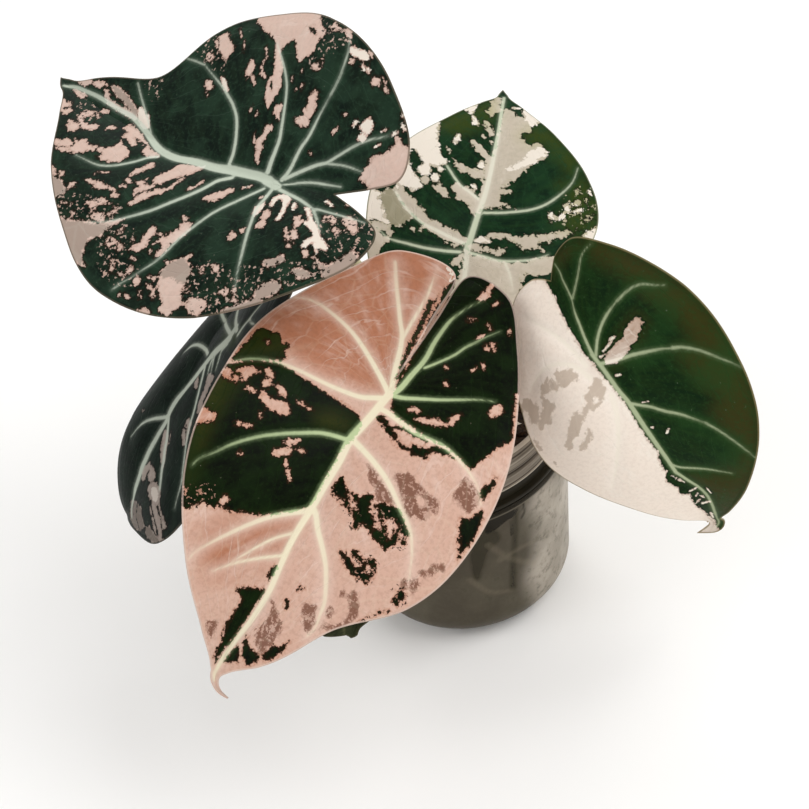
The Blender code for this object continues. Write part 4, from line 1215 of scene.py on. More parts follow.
def leaf_masks(paint, look):
    """What a leaf's colours are mixed by: noises, and the drawn depths with ragged edges."""
    m = SimpleNamespace()
    course = paint.stored("course", "Vector")
    flat = paint.stored("flat", "Vector")
    m.streak = paint.noise(paint.stretched(course, 0.9, 7.0), detail=3.0)
    m.ragged = paint.noise(paint.stretched(course, 1.1, 2.6), detail=3.0, roughness=0.6)
    m.fine = paint.noise(flat, scale=look["grain"], detail=4.0, roughness=0.7)
    m.cloud = paint.noise(flat, scale=0.09, detail=2.0)

    # Dark tissue, where flecks change the colour in the speck areas
    edge = (m.ragged - 0.5) * 1.5 + (m.fine - 0.5) * look["ragged"]
    if look["dark_ground"]:
        m.depth = edge - paint.stored("patch").either(paint.stored("white"))
    else:
        m.depth = edge + paint.stored("patch")
    flecks = paint.noise(flat, scale=look["grain"] * 0.9, detail=3.0, roughness=0.65)
    m.speck = (paint.stored("speck") + (m.ragged - 0.5) * 4.0).step(-0.2, 0.2) * flecks.step(0.575, 0.605)
    m.dark = (m.depth.step(-0.1, 0.1) - m.speck).sum("ABSOLUTE")

    # Stippled grey places, and white ones
    grey = paint.stored("grey") + (m.ragged - 0.5) * 2.4 + (m.fine - 0.5) * look["ragged"] * 1.2
    stipple = (m.fine + m.streak * 0.5).step(0.76, 0.84) * look["stipple"]
    m.grey = grey.step(-0.4, 0.4) * (1.0 - stipple)
    m.white = (paint.stored("white") + (m.fine - 0.5) * look["ragged"] * 1.1 - 0.1).step(-0.12, 0.12)

    # The veins and their pale feathering, which fade to the margin, and the wider zone beside them, which
    # carries painted sheen
    outward = paint.one_of(course, "Y").sum("ABSOLUTE") / COURSE_WIDTH
    vein = paint.stored("vein")
    m.vein = (vein + (m.fine - 0.5) * 0.3).step(-0.42, 0.24) * (1.0 - outward * look["fade"])
    m.halo = (vein + (m.fine - 0.5)).step(-1.3, 0.2) * (1.0 - outward * 0.7)
    m.near = vein.step(-3.5, 0.3)

    # Fine side veins, a faint net of the finest ones, and the margin
    waves = {"Vector": course, "Scale": 0.07, "Distortion": 9.0, "Detail": 3.0, "Detail Scale": 2.2}
    thread = paint.node("ShaderNodeTexWave", {"bands_direction": "Y"}, waves, "Fac")
    m.thread = thread.step(0.93, 1.0) * m.cloud.step(0.35, 0.6)
    cells = {"Vector": paint.stretched(course, 3.0, 6.0), "Scale": 1.0}
    net = paint.node("ShaderNodeTexVoronoi", {"feature": "DISTANCE_TO_EDGE"}, cells, "Distance")
    m.net = (1.0 - net.step(0.0, 0.06)) * (1.0 - m.dark)
    m.hem = 1.0 - (paint.stored("hem") / HEM_BAND + (m.fine - 0.5) * 0.4).step(0.5, 1.1)
    return m


print("masks are ready")


# %% Leaf paint
SHEEN = 0.05


def layered(paint, colour, layers):
    """A colour with others laid over it, each by its own factor."""
    for factor, above in layers:
        colour = paint.mix(factor, colour, above)
    return colour


def pale_tissue(paint, m, look):
    """Pale tissue with warm and soft clouds, painted sheen beside the veins, grain, side veins, a warm rim
    and grey places.
    """
    return layered(paint, look["pale"], (
        (paint.stored("warm").step(-6.0, 6.0), look["warm"]),
        (m.cloud.step(0.35, 0.7) * m.streak.step(0.3, 0.8) * 0.45, look["soft"]),
        # Painted sheen beside the veins, where the panels swell
        (m.near * 0.35, look["soft"]),
        (m.fine.step(0.45, 0.62) * 0.14, look["grey"]),
        (m.thread * 0.3, look["soft"]),
        (m.depth.step(-0.8, 0.0) * 0.45, look["warm"]),
        (m.grey * 0.85, look["grey"]),
        (m.speck * m.streak.step(0.35, 0.6) * 0.6, look["grey"]),
        (m.halo * 0.36, look["vein"]),
    ))


def dark_tissue(paint, m, look):
    """Dark tissue with streaks, painted sheen in clouds and beside the veins, side veins, light grain and a
    brown rim.
    """
    tissue = layered(paint, look["deep"], (
        (m.streak.step(0.3, 0.75), look["green"]),
        (paint.stored("warm").step(-4.0, 4.0) * 0.8, look["olive"]),
        # Painted sheen in clouds and beside the veins; the same colour tints the light grain
        (m.cloud.step(0.45, 0.65) * 0.5, look["grain_and_sheen"]),
        (m.near * 0.5 + m.thread * 0.35, look["grain_and_sheen"]),
        (m.fine.step(0.5, 0.62) * 0.4, look["grain_and_sheen"]),
        (m.fine.step(0.69, 0.75) * 0.35, look["soft"]),
    ))
    tissue = paint.mix(m.depth.step(0.1, 0.9), look["rim"], tissue)
    return paint.mix(m.halo * 0.26, tissue, look["bright"])


def leaf_paint(name, look):
    """The two-sided material of one leaf."""
    paint = Paint(f"{name} leaf", Specular_IOR_Level=SHEEN)
    m = leaf_masks(paint, look)
    face = paint.mix(m.dark, pale_tissue(paint, m, look), dark_tissue(paint, m, look))
    face = layered(paint, face, (
        (m.white, look["white"]),
        (m.net * 0.07, look["vein"]),
        (m.vein, paint.mix(m.dark * 0.8, look["vein"], look["bright"])),
        (m.hem * (0.8 - m.dark * 0.3), look["hem"]),
    ))
    back = paint.mix(m.dark * 0.55, look["pale"], look["under"])
    back = paint.mix(m.vein * 0.7, back, look["vein"])
    under = paint.stored("under")
    paint.link(paint.mix(under, face, back), "Base Color")
    paint.link(under * 0.25 + 0.4 + m.streak * 0.16, "Roughness")
    paint.bump(m.streak * 0.5 + m.ragged * 0.5 - m.thread * 0.5, 0.00022, 0.7)
    return paint.material


print("leaf paint is ready")

# %% [markdown]
# ## The relief of a blade
# On the living leaf the veins lie in shallow valleys, and the panels between them swell. The margin
# is a thin raised line. The relief comes from how far a point lies from the veins and the margin.

# %% Relief of a blade
# How far a panel swells in millimetres, the share of that by which the whole face sinks first, and how
# far the margin's line rises in millimetres
SWELL = 0.6
SUNK = 0.4
HEM_RISE = 0.12
# Breadth of the slopes beside a vein and the margin, and place and breadth of the margin's line, in
# millimetres
VEIN_SLOPE = 3.0
HEM_SLOPE = 5.0
HEM_PLACE = 0.6
HEM_BREADTH = 0.5
EDGE_POINTS = 300
# A small share of a blade, for the midrib's points and for the slope of the form
SMALL = 1e-4


def flat_places(leaf, signed, vein):
    """Flat places, in lengths, for signed shares across and vein numbers."""
    right = np.stack(flat_half(leaf, vein, np.abs(signed), 1), -1)
    left = np.stack(flat_half(leaf, vein, np.abs(signed), -1), -1)
    return np.where((signed > 0)[:, None], right, left)


def margin_depth(leaf, places):
    """How far flat places lie from the margin, in millimetres."""
    depth = np.full(len(places), -FAR)
    for side in (-1.0, 1.0):
        line = flat_places(leaf, np.full(EDGE_POINTS, side), np.linspace(0, 7, EDGE_POINTS)) * leaf["length"]
        depth = np.maximum(depth, stroke_depth(places, line, np.zeros(len(line))))
    return -depth


def face_out(leaf, flat, side):
    """The directions out of the upper face at flat places, side being 1 or -1 for each."""
    here = placed(leaf, *flat.T)
    aside = placed(leaf, flat[:, 0] + SMALL * side, flat[:, 1]) - here
    ahead = placed(leaf, flat[:, 0], flat[:, 1] + SMALL) - here
    out = np.cross(aside * side[:, None], ahead)
    return out / np.linalg.norm(out, axis=1)[:, None]


def relief(vein, hem):
    """Height over the plain leaf, from the depths in the veins and the distance to the margin."""
    away = np.clip(-vein, 0, None)
    height = SWELL * (1 - np.exp(-away / VEIN_SLOPE)) * np.clip(hem / HEM_SLOPE, 0, 1) - SWELL * SUNK
    return height + HEM_RISE * np.exp(-((hem - HEM_PLACE) / HEM_BREADTH) ** 2)


print("relief in a panel's middle, millimetres:", relief(np.full(1, -FAR), np.full(1, FAR)).round(2))

# %% [markdown]
# ## The blades
# Each blade starts as a flat grid. Its columns go from the left margin over the midrib to the right
# one, its rows follow the veins round from the notch to the tip. The grid is moved into the leaf's
# form with its relief. A solidify modifier makes it a thin sheet with an underside, where the veins
# stand out as ribs.

# %% Sheet and ribs
# In millimetres
BLADE_THICK = 0.6
RIB = 0.4
RIB_BREADTH = 0.7
# Rows and columns of each blade's grid
FINENESS = {
    "front": (260, 160), "upper_left": (260, 160), "back": (220, 130), "right": (220, 130),
    "lower_left": (200, 120), "lower_front": (90, 60),
}
# Of points nearer to each other than this, in metres, one is kept
MERGE = 0.00001


def keep(mesh, name, values, kind="FLOAT"):
    """Stores values on the mesh's vertices under a name."""
    made = mesh.attributes.get(name) or mesh.attributes.new(name, kind, "POINT")
    made.data.foreach_set("value" if kind == "FLOAT" else "vector", np.asarray(values, np.float32).ravel())


def move_to(mesh, spots):
    """Moves the mesh's vertices to places in metres."""
    mesh.vertices.foreach_set("co", spots.astype(np.float32).ravel())


def thicken(made):
    """Gives a blade its thickness, its underside and the ribs there."""
    mesh = made.data
    sheet = len(mesh.vertices)
    thick = made.modifiers.new("thickness", "SOLIDIFY")
    thick.thickness = BLADE_THICK * MM
    thick.offset = 0.0
    bpy.ops.object.modifier_apply(modifier=thick.name)
    keep(mesh, "under", np.arange(len(mesh.vertices)) >= sheet)
    spots = np.array([vertex.co for vertex in mesh.vertices])
    vein = np.zeros(len(spots))
    mesh.attributes["vein"].data.foreach_get("value", vein)
    down = spots[sheet:] - spots[:sheet]
    down /= np.linalg.norm(down, axis=1)[:, None]
    away = np.clip(-vein[sheet:], 0, None)
    spots[sheet:] += down * (RIB * MM * np.exp(-(away / RIB_BREADTH) ** 2))[:, None]
    move_to(mesh, spots)


print("faces of the six sheets:", sum(rows * columns for rows, columns in FINENESS.values()))


# %% Blades
def blade(name):
    """One blade with its form, relief and stored markings."""
    leaf = SHAPES[name]
    rows, columns = FINENESS[name]
    bpy.ops.mesh.primitive_grid_add(x_subdivisions=columns, y_subdivisions=rows, size=2)
    made = bpy.context.object
    made.name = f"blade_{name}"
    mesh = made.data
    spots = np.array([vertex.co for vertex in mesh.vertices])
    signed = np.where(np.abs(spots[:, 0]) < SMALL, 0, spots[:, 0])
    vein = (spots[:, 1] + 1) * 3.5
    flat = flat_places(leaf, signed, np.clip(vein, 0, 7))
    places = flat * leaf["length"]
    depths = drawn(leaf_sheet(leaf), leaf["length"], places, DRAWINGS[name])
    depths["hem"] = margin_depth(leaf, places)
    out = face_out(leaf, flat, np.where(signed < 0, -1.0, 1.0))
    height = relief(depths["vein"], depths["hem"])
    move_to(mesh, placed(leaf, *flat.T) + out * height[:, None] * MM)
    for kind, depth in depths.items():
        keep(mesh, kind, depth)
    course = np.stack([vein * COURSE_STEP, signed * COURSE_WIDTH, 0 * vein], -1)
    keep(mesh, "course", course, "FLOAT_VECTOR")
    keep(mesh, "flat", np.stack([*places.T, 0 * vein], -1), "FLOAT_VECTOR")
    bpy.ops.object.mode_set(mode="EDIT")
    bpy.ops.mesh.select_all(action="SELECT")
    bpy.ops.mesh.remove_doubles(threshold=MERGE)
    bpy.ops.object.mode_set(mode="OBJECT")
    thicken(made)
    bpy.ops.object.shade_smooth()
    mesh.materials.append(leaf_paint(name, COLOURS[name]))
    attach(made, "root")
    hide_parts(f"leaf_{name}")
    return made


for name in SHAPES:
    made = blade(name)
    print(made.name, "faces:", len(made.data.polygons))

# %% [markdown]
# ## Round pieces
# The cup, the nursery pot, the potting mix and the stem are all turned: a circle of points is moved
# to the outline of the wall and spun round the upright axis.

# %% Turning
ROUND = 216
# Faces that meet at more than this angle, in degrees, keep a sharp edge
CREASE = 40


def arc(centre, radius, start, end, steps):
    """Points of an arc in the outline's plane, angles in degrees."""
    angles = [math.radians(start + (end - start) * i / steps) for i in range(steps + 1)]
    return [(centre[0] + radius * math.cos(a), centre[1] + radius * math.sin(a)) for a in angles]


def round_place(radius, turn, height):
    """A place at a turn, in radians, round the upright axis."""
    return radius * math.cos(turn), radius * math.sin(turn), height


def turned_piece(name, outline, paint):
    """A round piece from its wall's outline, given as (radius, height) in millimetres."""
    bpy.ops.mesh.primitive_circle_add(vertices=len(outline), radius=0.01)
    made = bpy.context.object
    made.name = name
    for vertex, (radius, height) in zip(made.data.vertices, outline):
        vertex.co = (radius * MM, 0, height * MM)
    bpy.ops.object.mode_set(mode="EDIT")
    bpy.ops.mesh.select_all(action="SELECT")
    bpy.ops.mesh.spin(steps=ROUND, angle=math.tau, center=(0, 0, 0), axis=(0, 0, 1))
    bpy.ops.mesh.select_all(action="SELECT")
    bpy.ops.mesh.remove_doubles(threshold=MERGE)
    bpy.ops.mesh.delete_loose(use_verts=True, use_edges=True, use_faces=False)
    bpy.ops.mesh.select_all(action="SELECT")
    bpy.ops.mesh.normals_make_consistent(inside=False)
    bpy.ops.object.mode_set(mode="OBJECT")
    bpy.ops.object.shade_smooth_by_angle(angle=math.radians(CREASE))
    made.data.materials.append(paint)
    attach(made, "root")
    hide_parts(name.replace("round_", ""))
    return made


def drill(piece, place, radius, depth):
    """Cuts an upright round hole about a place of a piece, in millimetres."""
    spot = [value * MM for value in place]
    bpy.ops.mesh.primitive_cylinder_add(vertices=40, radius=radius * MM, depth=depth * MM, location=spot)
    cutter = bpy.context.object
    bpy.context.view_layer.objects.active = piece
    cut = piece.modifiers.new("hole", "BOOLEAN")
    cut.object = cutter
    cut.solver = "EXACT"
    bpy.ops.object.modifier_apply(modifier=cut.name)
    bpy.data.objects.remove(cutter, do_unlink=True)


print("steps of a turn:", ROUND)

# %% [markdown]
# ## Smoke-grey cup
# A thin cup of satin, smoke-tinted plastic with a rounded foot and a soft lip. It lets the nursery
# pot and the roots show through as blurred shapes. The darkest of these are drawn on its wall, as
# they are seen just below the lip: patch is the pot in deep shade, grey its shadow and vein a root.
# Warm marks painted light on the side of the wall towards the main lamp, and elsewhere the wall's
# dark ground is partly painted shade.

# %% Shapes seen through the cup
CUP_RADIUS = 38.3
CUP_HEIGHT = 58.9
CUP_WALL = 1.4
FOOT_RADIUS = 22.7
FOOT_ROUNDING = 11.7
# Radius at which the straight wall starts
WALL_START = FOOT_RADIUS + FOOT_ROUNDING
CUP_FLOOR = 2.5
SEEN_THROUGH = """
patch 488,518 500,513 510,508 515,510 514,516 506,521 500,526 494,530 486,533
patch 1.0 0.8 523,503 525,510 521,518
patch 0.7 0.5 515,506 520,511
patch 0.9 0.7 511,522 512,535
grey 1.6 2.2 515,512 515,530 514,550 513,570 513,588
grey 480,524 496,530 500,540 488,552 478,580 470,560
vein 1.6 1.2 488,545 510,558 535,563
vein 1.4 1.2 500,560 520,548 536,540
vein 1.6 1.2 470,580 490,592 512,590
warm 575,430 552,462 544,490 543,520 542,550 536,580 548,606 605,560 595,470
"""


def cup_surface(flat):
    """The outer wall of the cup, unrolled: distance round and height, in metres."""
    turn = flat[:, 0] / (CUP_RADIUS * MM)
    height = flat[:, 1] / MM
    low = np.clip(FOOT_ROUNDING - height, 0, FOOT_ROUNDING)
    radius = np.interp(height, (FOOT_ROUNDING, CUP_HEIGHT), (WALL_START, CUP_RADIUS))
    radius -= FOOT_ROUNDING - np.sqrt(FOOT_ROUNDING**2 - low**2)
    return np.stack([radius * MM * np.cos(turn), radius * MM * np.sin(turn), flat[:, 1]], -1)


print("shapes seen through the cup:", len(markings(SEEN_THROUGH)))

# %% Cup paint
# Heights in metres at which the lip gets a painted highlight, and then painted shade, nearly black, on its
# top under the pot's bead
LIP_HIGHLIGHT = (0.0569, 0.0571)
LIP_SHADE = (0.0575, 0.0577)
OPACITY = 0.86

paint = Paint("smoke cup", Specular_IOR_Level=0.06, IOR=1.49)
place = paint.place()
cloud = paint.noise(place, scale=60.0, detail=3.0)
dirt = paint.noise(place, scale=320.0, detail=4.0, roughness=0.7)
# Painted light: where warm is drawn, on the side towards the main lamp, the wall turns pale
light = (paint.stored("warm") + (cloud - 0.5) * 4.0).step(-9.0, 2.0)
shadow = (paint.stored("grey") + (cloud - 0.5) * 2.0 + (dirt - 0.5) * 2.0).step(-1.2, 0.8)
shade = (paint.stored("patch") + (cloud - 0.5) * 1.2).step(-0.5, 0.3)
height = paint.one_of(place, "Z")
# The wall's dark ground is its smoke tint with painted shade in it, away from the lamp and in the leaves'
# shadow
wall = layered(paint, ink(82, 75, 63), (
    (light, ink(186, 176, 162)),
    (cloud.step(0.4, 0.65) * 0.35 + dirt.step(0.45, 0.65) * 0.25, ink(104, 98, 82)),
    (dirt.step(0.55, 0.7) * 0.3, ink(50, 46, 34)),
    (shadow * 0.7, ink(46, 42, 28)),
    (shade * 0.92, ink(26, 22, 14)),
    (paint.stored("vein").step(-1.2, 0.8) * 0.22, ink(150, 138, 116)),
    # A painted highlight along the lip, then painted shade on its top where the pot's bead rests
    (height.step(*LIP_HIGHLIGHT) * 0.6, ink(112, 104, 90)),
    (height.step(*LIP_SHADE) * 0.9, ink(30, 26, 17)),
))
paint.link(wall, "Base Color")
paint.link(cloud * 0.12 + 0.3, "Roughness")
paint.link(paint.stored("patch").step(-1.0, 0.5).either(OPACITY), "Alpha")
cup_paint = paint.material
print("paint:", cup_paint.name)

# %% Cup
LIP = CUP_WALL / 2
# The net for the drawing: turns from the axis in radians and heights in millimetres
SEEN_TURNS = (-math.pi, 0.6)
SEEN_HEIGHTS = (1, 58.5)

outline = [(0, 0)] + arc((FOOT_RADIUS, FOOT_ROUNDING), FOOT_ROUNDING, -90, 0, 12)
for share in np.linspace(0, 1, 40)[1:]:
    radius = WALL_START + share * (CUP_RADIUS - WALL_START)
    outline.append((radius, FOOT_ROUNDING + share * (CUP_HEIGHT - LIP - FOOT_ROUNDING)))
outline += arc((CUP_RADIUS - LIP, CUP_HEIGHT - LIP), LIP, 0, 180, 8)
inner_rounding = FOOT_ROUNDING - CUP_WALL
outline += arc((FOOT_RADIUS, CUP_FLOOR + inner_rounding), inner_rounding, 0, -90, 12)
cup = turned_piece("round_outer_cup", outline + [(0, CUP_FLOOR)], cup_paint)
spots = np.array([vertex.co for vertex in cup.data.vertices])
unrolled = np.stack([np.arctan2(spots[:, 1], spots[:, 0]) * CUP_RADIUS, spots[:, 2] / MM], -1)
around, up = np.meshgrid(
    np.linspace(*SEEN_TURNS, 200) * CUP_RADIUS * MM, np.linspace(*SEEN_HEIGHTS, 90) * MM)
net = np.stack([around.ravel(), up.ravel()], -1)
for kind, depth in drawn((cup_surface, net), 1 / MM, unrolled, SEEN_THROUGH).items():
    keep(cup.data, kind, depth)
print("cup faces:", len(cup.data.polygons))

# %% [markdown]
# ## Nursery pot
# A tapered pot whose bead rests on the cup's lip. The ridged collar above is scuffed grey plastic,
# with painted highlights round its ridges and painted shade in its grooves. The drain holes are cut
# with upright cylinders.

# %% Pot paint
# Painted highlights on the collar's ridges and painted shade in its grooves: height, half breadth and colour
COLLAR_HIGHLIGHTS_AND_SHADES = (
    (65.0, 0.35, ink(186, 176, 160)), (65.95, 0.3, ink(54, 44, 36)), (69.7, 0.5, ink(46, 36, 28)),
    (70.9, 0.25, ink(60, 50, 42)), (73.0, 0.3, ink(150, 140, 126)), (74.7, 0.45, ink(50, 40, 34)),
    (76.9, 0.5, ink(190, 178, 162)),
)
# Heights in metres between which the dark wall, its own dark plastic under painted shade, becomes the grey
# collar
COLLAR_START = (0.0644, 0.0648)

paint = Paint("nursery pot", Specular_IOR_Level=0.12)
place = paint.place()
height = paint.one_of(place, "Z")
scuff = paint.noise(paint.scaled(place, 30.0, 30.0, 900.0), detail=4.0)
collar = paint.mix(scuff.step(0.35, 0.7), ink(98, 88, 76), ink(140, 130, 116))
# Each line is a painted highlight on a ridge or painted shade in a groove
for level, breadth, tone in COLLAR_HIGHLIGHTS_AND_SHADES:
    line = 1.0 - (height - level * MM).sum("ABSOLUTE").step(breadth * MM * 0.6, breadth * MM)
    collar = paint.mix(line * (scuff * 0.4 + 0.6), collar, tone)
# Below the collar the wall is dark plastic with painted shade over it, for the gap above the cup's lip
dark = paint.mix(scuff, ink(24, 20, 13), ink(46, 42, 30))
paint.link(paint.mix(height.step(*COLLAR_START), dark, collar), "Base Color")
paint.link(scuff * 0.2 + 0.35, "Roughness")
pot_paint = paint.material
print("paint:", pot_paint.name)

# %% Nursery pot
# Outline of the outside from the floor up, radius and height
OUTSIDE = (
    (0, 22.0), (30.2, 22.0), (30.9, 22.3), (31.2, 23.0), (35.9, 58.6), (36.0, 59.2), (37.7, 59.25),
    (38.0, 59.5), (38.0, 60.1), (37.7, 60.4), (36.1, 60.5), (36.0, 64.6), (36.6, 64.7), (37.0, 64.85),
    (37.1, 65.1), (37.05, 65.5), (36.8, 65.8), (36.8, 66.1), (37.02, 66.4), (36.98, 68.9), (36.7, 69.2),
    (36.3, 69.6), (36.3, 69.8), (36.7, 70.2), (36.95, 70.5), (36.9, 73.8), (36.6, 74.1), (36.2, 74.6),
    (36.2, 74.8), (36.5, 75.1), (36.75, 75.4), (36.7, 76.2),
)
POT_RIM = (35.75, 76.15)
RIM_ROUNDING = 0.95
# Underside and top of the pot's floor
POT_BOTTOM = 22.0
POT_FLOOR = 23.2
POT_FLOOR_RADIUS = 30.2
DRAIN_HOLES = 6
HOLE_CIRCLE = 18.0
HOLE_RADIUS = 3
HOLE_DEPTH = 8

outline = list(OUTSIDE) + arc(POT_RIM, RIM_ROUNDING, 0, 180, 8)
pot = turned_piece("round_inner_pot", outline + [(POT_FLOOR_RADIUS, POT_FLOOR), (0, POT_FLOOR)], pot_paint)
for number in range(DRAIN_HOLES):
    hole = round_place(HOLE_CIRCLE, math.tau * number / DRAIN_HOLES, POT_BOTTOM)
    drill(pot, hole, HOLE_RADIUS, HOLE_DEPTH)
print("pot faces:", len(pot.data.polygons))

# %% [markdown]
# ## Petioles
# A petiole comes straight out of the potting mix and then bends to meet its blade from below. It is
# a bezier curve with three points, thick at the foot and thin at the top. Its skin is pale, brownish
# near the foot, with dark flecks.

# %% Tubes
# Faces that meet at more than this angle, in degrees, keep a sharp edge
TUBE_CREASE = 50


def tube(name, points, radii, paint, handles=None):
    """A tube along points in millimetres, turned into a mesh."""
    bpy.ops.curve.primitive_bezier_curve_add()
    made = bpy.context.object
    made.name = name
    made.data.splines.clear()
    made.data.dimensions = "3D"
    made.data.resolution_u = 24 if handles else 6
    made.data.bevel_depth = MM
    made.data.bevel_resolution = 6
    made.data.use_fill_caps = True
    spline = made.data.splines.new("BEZIER")
    spline.bezier_points.add(len(points) - 1)
    for number, (knot, point, radius) in enumerate(zip(spline.bezier_points, points, radii)):
        knot.co = Vector(point) * MM
        knot.radius = radius
        knot.handle_left_type = knot.handle_right_type = "FREE" if handles else "AUTO"
        if handles:
            knot.handle_left, knot.handle_right = (Vector(place) * MM for place in handles[number])
    bpy.ops.object.convert(target="MESH")
    bpy.ops.object.shade_smooth_by_angle(angle=math.radians(TUBE_CREASE))
    made.data.materials.append(paint)
    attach(made, "root")
    return made


paint = Paint("petiole skin", Specular_IOR_Level=0.35, Roughness=0.42)
place = paint.place()
height = paint.one_of(place, "Z")
fleck = paint.noise(paint.scaled(place, 900.0, 900.0, 160.0), detail=3.0)
stalk = paint.mix(height.step(0.07, 0.1), ink(150, 120, 96), ink(196, 190, 152))
paint.link(paint.mix(fleck.step(0.56, 0.62) * 0.6, stalk, ink(96, 84, 56)), "Base Color")
petiole_skin = paint.material
print("paint:", petiole_skin.name)

# %% Petioles
FOOT_CIRCLE = 10.8
FOOT_BOTTOM = 62.0
FOOT_BEND = 72.0
PETIOLE_RADIUS = 2.4
TOP_RADIUS = 1.3
# The top ends this far below the blade's joint
JOINT_GAP = 0.7
# How far the curve runs straight at its foot and before its bend
LIFT = Vector((0, 0, 4))

for name, leaf in SHAPES.items():
    foot = Vector(round_place(FOOT_CIRCLE, math.radians(leaf["foot"]), FOOT_BOTTOM))
    bend = Vector((foot.x, foot.y, FOOT_BEND))
    joint = Vector(leaf["joint"])
    down = -Vector(blade_axes(leaf)[2])
    top = joint + down * JOINT_GAP
    handles = [
        (foot - LIFT, foot + LIFT), (bend - LIFT, bend + Vector((0, 0, leaf["rise"]))),
        (joint + down * leaf["shoulder"], top),
    ]
    radii = (PETIOLE_RADIUS, PETIOLE_RADIUS, TOP_RADIUS)
    stalk = tube(f"stalk_{name}", [foot, bend, top], radii, petiole_skin, handles)
    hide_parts(f"petiole_{name}")
print("petioles:", len(SHAPES))

# %% [markdown]
# ## Potting mix
# The mix is dark bark, painted darker still with the shade that lies deep in the pot. It is a turned
# body with a hole for the stem and one for each petiole. Its top swells a little to the middle.

# %% Potting mix
MIX_FLOOR = 23.5
MIX_FOOT = 29.93
MIX_EDGE = 69.0
MIX_SWELL = 2.0
MIX_RADIUS = 33.8
HOLE_GAP = 0.3
FOOT_HOLE = 20
STEM_RADIUS = 6.0
STEM_BOTTOM = 57.0
STEM_TOP = 75.5


def mix_height(radius):
    """Height of the mix's top at a radius."""
    return MIX_EDGE + MIX_SWELL * math.cos(radius / MIX_RADIUS * math.pi / 2)


def feet():
    """Where the stem and the petioles come out: x, y, bottom and radius in millimetres."""
    places = [(0.0, 0.0, STEM_BOTTOM, STEM_RADIUS)]
    for leaf in SHAPES.values():
        places.append((*round_place(FOOT_CIRCLE, math.radians(leaf["foot"]), FOOT_BOTTOM), PETIOLE_RADIUS))
    return places


paint = Paint("bark mix", Specular_IOR_Level=0.2, Roughness=0.9)
grain = paint.noise(paint.place(), scale=700.0, detail=4.0)
# The bark's own dark brown, darkened further by painted shade for the deep inside of the pot
bark = paint.mix(grain.step(0.3, 0.7), ink(18, 13, 9), ink(48, 35, 24))
paint.link(paint.mix(paint.stored("tone"), bark, ink(72, 54, 38)), "Base Color")
paint.bump(grain, 0.0005, 0.7)
shaded_bark_mix = paint.material
outline = [(0, MIX_FLOOR), (MIX_FOOT, MIX_FLOOR), (MIX_RADIUS, MIX_EDGE)]
outline += [(radius, mix_height(radius)) for radius in np.linspace(MIX_RADIUS, 0, 14)[1:]]
mix = turned_piece("round_potting_mix", outline, shaded_bark_mix)
for x, y, bottom, radius in feet():
    drill(mix, (x, y, bottom - HOLE_GAP + FOOT_HOLE / 2), radius + HOLE_GAP, FOOT_HOLE)
print("mix faces:", len(mix.data.polygons))

# %% [markdown]
# ## Bark chips and pumice
# Chips and a few pale grains lie on the mix. Each kind is modelled once, from a cube that is knocked
# out of shape, and then copied at many sizes and turns. Where a copy would touch a stalk, another place
# is drawn for it.

# %% Lumps
LUMP_CREASE = 35
KNOCK = 0.16


def lump(name, size, cuts, seed, paint):
    """One knocked-about lump, 2 units wide, for copying."""
    bpy.ops.mesh.primitive_cube_add(size=2, location=(0, 0, 0))
    made = bpy.context.object
    made.name = name
    bpy.ops.object.mode_set(mode="EDIT")
    bpy.ops.mesh.select_all(action="SELECT")
    bpy.ops.transform.resize(value=size, center_override=(0, 0, 0))
    bpy.ops.mesh.subdivide(number_cuts=cuts, smoothness=0.25)
    bpy.ops.transform.vertex_random(offset=KNOCK, seed=seed)
    bpy.ops.object.mode_set(mode="OBJECT")
    bpy.ops.object.shade_smooth_by_angle(angle=math.radians(LUMP_CREASE))
    made.data.materials.append(paint)
    return made


def clear(x, y, size):
    """Whether a lump of that size keeps clear of the stem and the petioles."""
    return all(math.hypot(x - a, y - b) >= foot + size * 1.15 for a, b, _, foot in feet())


print("things to keep clear of:", len(feet()))

# %% Chips
CHIPS = 330
GRAINS = 60
# Half widths of the lumps, in millimetres
CHIP_SIZES = (1.4, 3.4)
GRAIN_SIZES = (0.7, 1.2)
# Length, breadth and thickness of the kinds of chip and of a grain, as shares of their size
CHIP_FORMS = ((1, 0.6, 0.4), (0.9, 0.8, 0.35), (1, 0.45, 0.45))
GRAIN_FORM = (0.8, 0.75, 0.7)
dice = np.random.default_rng(7)


def scattered(name, kinds, count, sizes):
    """Copies of the lumps over the mix, joined into one piece."""
    copies = []
    while len(copies) < count:
        size = dice.uniform(*sizes)
        radius = math.sqrt(dice.uniform(0, 1)) * (MIX_RADIUS - size * 1.05)
        turn = dice.uniform(0, math.tau)
        x, y = radius * math.cos(turn), radius * math.sin(turn)
        if not clear(x, y, size):
            continue
        copy = kinds[len(copies) % len(kinds)].copy()
        copy.data = copy.data.copy()
        keep(copy.data, "tone", np.full(len(copy.data.vertices), dice.uniform(0, 0.7)))
        lean = Matrix.Rotation(dice.uniform(-0.4, 0.4), 4, "X")
        tilt = lean @ Matrix.Rotation(dice.uniform(0, math.tau), 4, "Z")
        spot = Vector((x, y, mix_height(radius) + size * dice.uniform(-0.1, 0.2)))
        copy.data.transform(Matrix.Translation(spot * MM) @ tilt @ Matrix.Scale(size * MM, 4))
        bpy.context.collection.objects.link(copy)
        copies.append(copy)
    bpy.ops.object.select_all(action="DESELECT")
    for copy in copies:
        copy.select_set(True)
    bpy.context.view_layer.objects.active = copies[0]
    bpy.ops.object.join()
    made = bpy.context.object
    made.name = name
    for kind in kinds:
        bpy.data.objects.remove(kind, do_unlink=True)
    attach(made, "root")
    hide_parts("potting_mix")
    print(name, "faces:", len(made.data.polygons))


pumice = Paint("pumice", Specular_IOR_Level=0.2, Roughness=0.85, Base_Color=ink(206, 198, 184))
